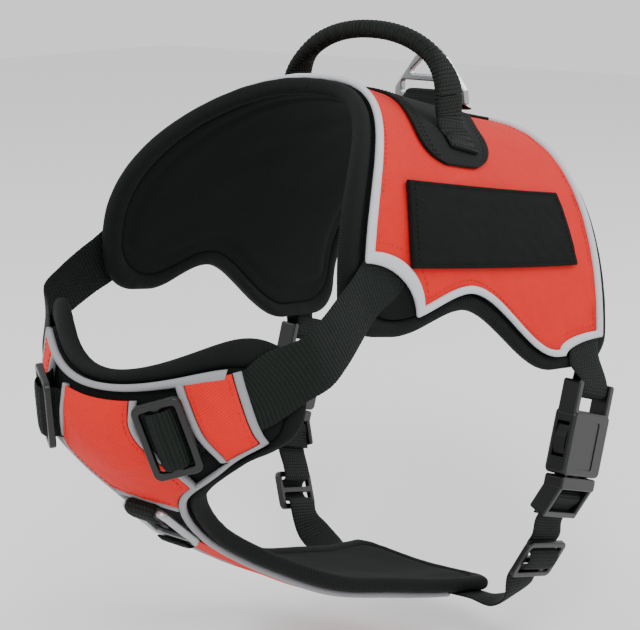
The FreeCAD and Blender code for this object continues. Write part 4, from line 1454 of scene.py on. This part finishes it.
        def along_edge(start: float, share: float) -> Place:
            """Place function of piping inside the binding, from one share of the outline on."""
            return lambda s, t: self.edge(
                start + share * s, LAYER.panel_margin + LAYER.piping_width * (1 - t))
        neck = self.piping(along_edge(0.0, self.neck_piping_end), 80, 90)
        leg = self.piping(along_edge(self.leg_piping_start, self.leg_piping_share), 250, 260)
        self.make("chest_edge_reflective", [neck, flipped(neck), leg, flipped(leg)],
                  Slot.CHEST_PIPING, "chest_edge_piping")

    def build(self) -> None:
        """Make the whole panel."""
        self.build_base()
        self.build_fields()
        self.build_piping()
        inside = self.area(LAYER.panel_margin + LAYER.piping_width + 2 * LAYER.gap)
        first, last = self.belly_first, STATIONS - self.belly_rear
        belly = Pad(panel, lambda s, t: inside(s, (first + (last - first) * t) / STATIONS),
                    LAYER.red_base, LAYER.red_top, (50, 170), 1.8, 0.8,
                    lambda s, t: 0.3 * waves(s * 50, t * 170, 30, 45))
        self.make("belly_cloth", belly.grids(), Slot.RED, "belly_field")


BAND_MIDDLE = LAYER.band_base + 0.5 * LAYER.webbing


@dataclass
class Strap(Assembly):
    """Webbing on both sides, with the sizes of the slide it runs through."""

    slide_width: float = 21.0
    slide_thick: float = 3.0
    slide_rail: float = 3.0

    def weave_path(self, under: float) -> list[tuple[float, float]]:
        """Webbing's way through a slide, below its rails and over its middle bar.

        Args:
            under: height of the webbing below the rails.
        Returns:
            Points along and out of the slide.
        """
        over = self.slide_thick + LAYER.running_gap + LAYER.webbing / 2 + 0.3
        window = (self.slide_width / 2 - self.slide_rail + self.slide_rail / 2) / 2
        half = [(0.0, over), (2.2, over - 0.1), (window, 0.66 * over),
                (window + 0.8, 0.5 * (over + under)), (window + 1.5, 0.7 * under),
                (window + 2.9, under), (self.slide_width / 2 + 1.5, under)]
        return [(-y, z) for y, z in reversed(half[1:])] + half

    def woven(self, name: str, rows: list[Row], middle: int, node: str, far: str, slide: str,
              ends: Array) -> None:
        """Make webbing woven through a slide, as two lengths that meet in it.

        Args:
            name: name of the webbing.
            rows: its rows.
            middle: the row on the slide's middle bar.
            node: the CAD node it stands for.
            far: not used.
            slide: not used.
            ends: for each length, a point beyond the slide and a point at its edge, in millimetres.
        """
        lengths = Ribbon(rows).parted(middle)
        for side, sign in SIDES:
            way = np.array([sign, 1.0, 1.0]) * MM
            for word, grid, (loose, held) in zip(("first", "second"), lengths, ends):
                grid = grid if sign > 0 else flipped(grid)
                piece = make_mesh(f"{side}_{name}_{word}", [grid], Slot.WEBBING)
                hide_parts(f"{side}_{node}")
                tuple(loose * way)
                tuple(held * way)
                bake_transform(piece)
                self.pieces.append(piece)


@dataclass
class ShoulderStraps(Strap):
    """Webbing from the chest, through the slides, to the back panel's front corners."""

    slide_spot: tuple[float, float] = (0.44, 1.98)
    beyond_slide: tuple[float, float] = (0.575, 1.74)
    lift: float = LAYER.red_top + 0.6

    def free_rows(self) -> list[Row]:
        """Rows of the free span between the two panels."""
        span = [((77.0, -99, 12), (0.93, -0.36, 0.05)), ((77.5, -88, 18), (0.98, -0.18, 0.06)),
                ((76.0, -77, 24), (0.99, -0.03, 0.08)), ((74.0, -66, 29.5), (0.98, 0.10, 0.08))]
        middle = np.array([p for p, _ in span], float)
        rows: list[Row] = []
        for i, (_, normal) in enumerate(span):
            run = middle[min(i + 1, 3)] - middle[max(i - 1, 0)]
            facing = np.array(normal, float)
            facing = unit(facing - run * float(facing @ run) / float(run @ run))
            aside = unit(np.cross(run, facing))
            rows.append(flat_row(middle[i], aside, facing, LAYER.webbing_width))
        return rows

    def corner_rows(self) -> list[Row]:
        """Rows on the back panel's front corner."""
        corner = [(116.0, 12.0), (108.0, 23.0), (99.0, 35.0)]
        points = [back.point(np.array(a), np.array(b)) for a, b in corner]
        return [skin_row(back, spot, points[min(i + 1, 2)] - points[max(i - 1, 0)], height,
                         LAYER.webbing_width)
                for i, (spot, height) in enumerate(zip(corner, (1.9, 1.0, 0.95)))]

    def build(self) -> None:
        """Make both straps."""
        spots = [(0.20, 2.36), (0.28, 2.24), self.slide_spot, (0.68, 1.52), (0.80, 1.24),
                 (0.93, 0.92)]
        points = [panel.point(np.array(a), np.array(b)) for a, b in spots]
        seat = np.array(self.slide_spot[0]), np.array(self.slide_spot[1])
        local = Frame(panel.lifted(*seat, self.lift), points[3] - points[1], panel.normal(*seat))
        width = LAYER.webbing_width
        rows = [skin_row(panel, spots[i], points[i + 1] - points[i], BAND_MIDDLE, width)
                for i in (0, 1)]
        path = self.weave_path(BAND_MIDDLE - self.lift + 0.3)[2:-2]
        rows += frame_rows(local, path, width)
        rows.append(skin_row(panel, self.beyond_slide, local.y, BAND_MIDDLE, width))
        rows += [skin_row(panel, spots[i], points[i] - points[i - 1],
                          BAND_MIDDLE + 0.4 * (i - 3), width) for i in (3, 4, 5)]
        rows += self.free_rows() + self.corner_rows()
        reach = self.slide_width / 2
        ends = np.array([[local.at(0, -reach - 6, 0), local.at(0, -reach, 0)],
                         [local.at(0, reach + 20, 0), local.at(0, reach + 1, 0)]])
        self.woven("chest_webbing", rows, 6, "shoulder_strap", "harness", "chest_slide", ends)


@dataclass
class GirthStraps(Strap):
    """Upper loops, girth straps and the band under the belly."""

    buckle_bar: float = 2.0
    male_bend: float = 24.0
    mouth: float = 10.5 + 38.0 - 6.0
    male_length: float = 26.0
    seat: float = 11.55

    @property
    def buckle(self) -> Frame:
        """Axes of the near buckle, from its bar."""
        return Frame((90, 99, -43.7), (0, -0.317, -0.945), (0.994, -0.047, 0.016))

    def build_loops(self) -> None:
        """Upper loops, from the back panel's legs round the buckles' bars."""
        leg = (BACK.leg_start + BACK.length) / 2
        wrap = self.buckle_bar + LAYER.running_gap + LAYER.webbing / 2
        down = np.array([0.0, 0.0, -1.0])
        rows = [skin_row(back, (across, leg), down, height, LAYER.webbing_width)
                for across, height in ((116.0, 0.95), (126.0, 0.95), (136.0, 1.2), (144.0, 2.0),
                                       (152.0, 2.3))]
        path = around_bar(0, wrap, 0, 180) + [(-5, -2.4), (-9, -2.2)]
        rows += frame_rows(self.buckle, path, LAYER.webbing_width)
        grids = Ribbon(rows).grids()
        self.make("left_upper_girth_webbing", grids, Slot.WEBBING, "left_girth_loop")
        self.make("right_upper_girth_webbing", [flipped(g) for g in grids], Slot.WEBBING,
                  "right_girth_loop")

    def tail_rows(self) -> list[Row]:
        """Rows round the bar in the plug's bent tail."""
        buckle, bend = self.buckle, math.radians(self.male_bend)
        tail = Frame(buckle.at(0, self.mouth + 0.6 + 6.4 - 2.0, 0),
                     buckle.y * math.cos(bend) - buckle.z * math.sin(bend),
                     buckle.z * math.cos(bend) + buckle.y * math.sin(bend))
        length, bar, radius = self.male_length - 9.4, 6.6, self.buckle_bar - 0.2
        path = [(length + 2.0, -1.9), (bar + 5.0, -2.3)]
        path += around_bar(bar, radius + LAYER.running_gap + LAYER.webbing / 2, 180, 360)
        path += [(bar + 4.0, 1.8), (length - 1.8, 0.8), (length + 3.0, 0.8)]
        return frame_rows(tail, path, LAYER.webbing_width)

    def belly_rows(self) -> list[Row]:
        """Rows from the slide to the belly panel."""
        width, seat = LAYER.webbing_width, np.array(self.seat)
        run = panel.point(np.array(0.6), seat) - panel.point(np.array(1.0), seat)
        rows: list[Row] = []
        for point, normal in (((66.0, 77.0, -149.5), (0.45, 0.0, -0.89)),
                              ((58.0, 77.5, -155.5), (0.42, 0.0, -0.91))):
            facing = unit(np.array(normal))
            rows.append(flat_row(np.array(point), unit(np.cross(run, facing)), facing, width))
        for across, height in ((1.05, 3.0), (0.9, 2.6), (0.72, BAND_MIDDLE), (0.6, BAND_MIDDLE)):
            rows.append(skin_row(panel, (across, self.seat), run, height, width))
        return rows

    def build(self) -> None:
        """Make both sides and the band."""
        self.build_loops()
        slide = Frame((77, 76.5, -127.6), (-0.40, -0.22, -0.89), (0.911, -0.188, -0.363))
        rows = self.tail_rows()
        rows += frame_rows(slide, self.weave_path(-1.6), LAYER.webbing_width)
        rows += self.belly_rows()
        reach = self.slide_width / 2
        ends = np.array([[slide.at(0, -reach - 9, 0), slide.at(0, -reach - 1, 0)],
                         [slide.at(0, reach + 16, 0), slide.at(0, reach + 2, 0)]])
        self.woven("girth_webbing", rows, 21, "girth_strap", "male", "girth_slide", ends)
        pace = float(panel.pace(self.seat))
        band = Pad(panel, lambda s, t: (0.57 * (2 * s - 1),
                                        self.seat + (t - 0.5) * LAYER.webbing_width / pace + 0 * s),
                   LAYER.band_base, LAYER.band_base + LAYER.webbing, (50, 25), 2.0, 0.7)
        self.make("belly_band", band.grids(), Slot.WEBBING, "belly_webbing")


@dataclass
class Handle(Assembly):
    """Webbing handle: flat ribbed legs, a folded round grip, and feet sewn to the saddle."""

    width: float = 20.0
    thick: float = 3.6
    grip_width: float = 10.0
    grip_thick: float = 8.0
    rise: float = 43.0
    hinge_lift: float = 13.0
    foot_across: float = 44.0
    foot_along: float = 58.5
    sides: int = 32

    def __post_init__(self) -> None:
        foot = back.lifted(np.array(self.foot_across), np.array(self.foot_along), LAYER.trim_top)
        self.reach, self.along = float(foot[0]), float(foot[1])
        self.hinge = float(foot[2]) + self.hinge_lift

    def centre(self, angle: float) -> Array:
        """Middle of the near half of the bow, a flattened quarter ellipse.

        Args:
            angle: from the hinge at 0 to the top at a right angle.
        Returns:
            The point.
        """
        x = self.reach * math.cos(angle) ** 0.94 if angle < 0.5 * math.pi - 1e-9 else 0.0
        height = (self.rise - self.hinge_lift) * math.sin(angle) ** 0.94
        return np.array([x, self.along, self.hinge + height])

    def stations(self) -> list[tuple[Array, Array, float, float]]:
        """Middle, normal, width and thickness from the near foot up to the top."""
        out: list[tuple[Array, Array, float, float]] = []
        for across in (57.5, 54.5, 51.5):
            place = np.array(across), np.array(self.foot_along + (across - self.foot_across) * 0.32)
            out.append((back.lifted(*place, LAYER.trim_top + 0.9), back.normal(*place),
                        self.width + 0.6, 1.8))
        low = back.lifted(np.array(47.5), np.array(59.0), LAYER.trim_top + 1.6)
        out.append((low, unit(np.array([0.9, 0.0, 0.42])), self.width + 0.5, 2.0))
        out.append((np.array([self.reach + 0.6, self.along, self.hinge - 8.0]),
                    np.array([1.0, 0, 0.1]), self.width, 2.6))
        top = 0.5 * math.pi
        for angle in np.linspace(0, top, 15):
            run = unit(self.centre(min(angle + 0.02, top)) - self.centre(max(angle - 0.02, 0.0)))
            normal = unit(-np.cross(np.array([0.0, 1, 0]), run))
            if angle == 0:
                normal = np.array([1.0, 0, 0])
            elif angle > top - 1e-6:
                normal = np.array([0, 0, 1.0])
            ease = float(smooth(angle / 0.9))
            out.append((self.centre(angle), normal,
                        self.width + (self.grip_width - self.width) * ease,
                        self.thick + (self.grip_thick - self.thick) * ease))
        return out

    def bow(self) -> Grid:
        """The webbing: a superellipse swept along the bow, ribbed flat and braided at the grip."""
        near, mirror = self.stations(), np.array([-1.0, 1, 1])
        full = near + [(p * mirror, n * mirror, w, k) for p, n, w, k in reversed(near[:-1])]
        points = np.array([p for p, _, _, _ in full])[:, None]
        normals = np.array([unit(n) for _, n, _, _ in full])[:, None]
        sizes = np.array([(w, k) for _, _, w, k in full])[:, None]
        chords = np.linalg.norm(np.diff(points[:, 0], axis=0), axis=1)
        stops = np.concatenate([[0], np.cumsum(chords)])
        where = np.arange(0, stops[-1], 0.45)
        p = hermite(stops, points, where)[:, 0]
        n = unit(hermite(stops, normals, where))[:, 0]
        size = hermite(stops, sizes, where)[:, 0]
        run = unit(np.gradient(p, axis=0))
        n = unit(n - run * (n * run).sum(-1, keepdims=True))
        aside = np.cross(run, n)
        angles = np.linspace(0, TAU, self.sides + 1)[:-1]
        square = 3.2 + (2.1 - 3.2) * smooth((size[:, 1] - 3.6) / 4.0)
        cosine, sine = np.cos(angles)[None], np.sin(angles)[None]
        cx = np.sign(cosine) * np.abs(cosine) ** (2 / square[:, None])
        sx = np.sign(sine) * np.abs(sine) ** (2 / square[:, None])
        grip = smooth((size[:, 1] - 4.5) / 2.5)[:, None]
        rib = np.abs(np.sin(math.pi * where / 2.05))[:, None] ** 0.6
        braid = np.abs(np.sin(math.pi * where[:, None] / 2.4 + angles[None]))
        relief = (1 - grip) * 0.28 * rib + grip * 0.42 * braid
        half_w = 0.5 * size[:, :1] * cx + np.sign(cx) * relief * np.abs(cx)
        half_k = 0.5 * size[:, 1:] * sx + np.sign(sx) * relief * np.abs(sx) - 0.12 * np.sign(sx)
        grid = p[:, None] + aside[:, None] * half_w[..., None] + n[:, None] * half_k[..., None]
        return Grid(grid, np.stack([half_w, np.repeat(where[:, None], self.sides, axis=1)], -1))

    def build(self) -> None:
        """Make the handle and the thread on its feet."""
        piece = make_mesh("grab_handle", [self.bow()], Slot.WEBBING)
        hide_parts("handle", "left_handle_foot", "right_handle_foot")
        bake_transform(piece)
        self.pieces.append(piece)
        threads: list[Grid] = []
        for _, side in SIDES:
            for row in (50.0, 52.5, 56.0):
                b = np.linspace(self.foot_along - 8.5, self.foot_along + 8.5, 20)
                b = b + (row - self.foot_across) * 0.32
                threads += stitches(back, np.full(20, side * row), b, LAYER.trim_top + 1.75, 2.4)
        self.make("handle_foot_thread", threads, Slot.CLOTH)


@dataclass
class RingBands(Assembly):
    """Webbing that holds the leash rings."""

    top_along: float = 98.0
    top_lift: float = 6.0
    top_bar: float = 2.0
    top_width: float = 28.0
    front_along: float = 5.75
    front_lift: float = 1.2 + 6.0
    front_half: float = 14.0
    front_radius: float = 1.7
    front_width: float = 17.0

    def build_top(self) -> None:
        """Band over the back ring's bar."""
        foot = back.lifted(np.array(0.0), np.array(self.top_along), LAYER.trim_top)
        centre = np.array([0.0, foot[1], foot[2] + self.top_lift - LAYER.trim_top + 2.6])
        drop = centre[2] - foot[2] - LAYER.webbing / 2 - LAYER.gap
        radius = self.top_bar + LAYER.running_gap + 0.2 + LAYER.webbing / 2
        over = [math.radians(degrees) for degrees in range(-60, 61, 20)]
        path = [(-16, -drop - 0.9), (-12.5, -drop - 0.4), (-9, -drop + 0.6), (-6, 0.2)]
        path += [(radius * math.sin(a), radius * math.cos(a) + 0.3) for a in over]
        path += [(6, 0.2), (9, -drop + 0.4), (12.5, -drop - 1.6), (16, -drop - 2.9)]
        local = Frame(centre, (0, 1, 0), (0, 0, 1))
        self.make("top_ring_band", Ribbon(frame_rows(local, path, self.top_width)).grids(),
                  Slot.WEBBING, "top_ring_webbing")

    def build(self) -> None:
        """Make all three bands."""
        self.build_top()
        middle, at = np.array(0.0), self.front_along
        run = panel.point(middle, np.array(at + 0.3)) - panel.point(middle, np.array(at - 0.3))
        front = Frame(panel.lifted(middle, np.array(at), self.front_lift), run,
                      panel.normal(middle, np.array(at)))
        hold = self.front_radius + LAYER.running_gap + LAYER.webbing / 2
        for name, side in (("upper", -1), ("lower", 1)):
            c = side * self.front_half
            line = [(c - side * 3.2, -hold - 0.1), (c, -hold),
                    (c + side * hold * 0.8, -hold * 0.6), (c + side * hold, 0),
                    (c + side * hold * 0.8, hold * 0.6), (c, hold), (c - side * 3.2, hold)]
            grids = Ribbon(frame_rows(front, line, self.front_width)).grids()
            self.make(f"front_ring_{name}_band", grids, Slot.WEBBING, f"front_ring_{name}_loop")


@dataclass
class Hardware(Assembly):
    """CAD parts that stay visible: rings, buckles and slides."""

    metal: tuple[str, ...] = ("front_ring", "top_ring")

    def build(self) -> None:
        """Give each part its finish."""
        for name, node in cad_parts.items():
            if node.hide_render:
                continue
            slot = Slot.METAL if name in self.metal else Slot.PLASTIC
            node.data.materials.clear()
            node.data.materials.append(CLOTHS[slot].material)
            self.pieces.append(node)


# ---- Studio -------------------------------------------------------------------------------------
@dataclass
class Studio(Assembly):
    """Camera, soft lights and a pale floor."""

    azimuth: float = 38.5
    elevation: float = 14.1
    distance: float = 0.7385
    lens: float = 87.9
    sensor: float = 36.0
    floor_height: float = -0.19
    floor_size: float = 6.0
    ambient: float = 1.05
    lights: tuple[tuple[tuple[float, float, float], float, float], ...] = (
        ((0.9, -1.1, 1.3), 16, 0.6), ((-1.2, -0.6, 0.9), 6, 0.8), ((0.6, 1.3, 1.0), 10, 0.6))

    def build_camera(self) -> None:
        """Camera that looks at the origin."""
        azimuth, elevation = math.radians(self.azimuth), math.radians(self.elevation)
        toward = Vector((math.sin(azimuth) * math.cos(elevation),
                         -math.cos(azimuth) * math.cos(elevation), math.sin(elevation)))
        data = bpy.data.cameras.new("studio_camera")
        data.lens, data.sensor_width, data.sensor_fit = self.lens, self.sensor, "HORIZONTAL"
        camera = bpy.data.objects.new("studio_camera", data)
        camera.location = toward * self.distance
        camera.rotation_euler = toward.to_track_quat("Z", "Y").to_euler()
        bpy.context.scene.collection.objects.link(camera)
        bpy.context.scene.camera = camera

    def build_floor(self) -> None:
        """Pale floor."""
        bpy.ops.mesh.primitive_plane_add(size=self.floor_size, location=(0, 0, self.floor_height))
        floor = bpy.context.object
        floor.name = "studio_floor"
        pale = bpy.data.materials.new("studio_floor")
        pale.use_nodes = True
        shader = pale.node_tree.nodes["Principled BSDF"]
        shader.inputs["Base Color"].default_value = (0.9, 0.9, 0.9, 1)
        shader.inputs["Roughness"].default_value = 0.9
        floor.data.materials.append(pale)

    def build(self) -> None:
        """Make the studio."""
        self.build_camera()
        self.build_floor()
        world = bpy.data.worlds.new("studio")
        bpy.context.scene.world = world
        world.use_nodes = True
        world.node_tree.nodes["Background"].inputs[0].default_value = (1, 1, 1, 1)
        world.node_tree.nodes["Background"].inputs[1].default_value = self.ambient
        for i, (place, power, size) in enumerate(self.lights):
            lamp = bpy.data.lights.new(f"soft_{i}", "AREA")
            lamp.energy, lamp.size = power, size
            holder = bpy.data.objects.new(f"soft_{i}", lamp)
            holder.location = place
            holder.rotation_euler = Vector(place).to_track_quat("Z", "Y").to_euler()
            bpy.context.scene.collection.objects.link(holder)


def main() -> None:
    """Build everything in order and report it."""
    logging.basicConfig(level=logging.INFO)
    for kind in (BackPanel, ChestPanel, ShoulderStraps, GirthStraps, Handle, RingBands,
                 Hardware, Studio):
        assembly = kind()
        assembly.build()
        for piece in assembly.pieces:
            LOG.info("%s: %s", kind.__name__, piece.name)


if __name__ == "__main__":
    main()
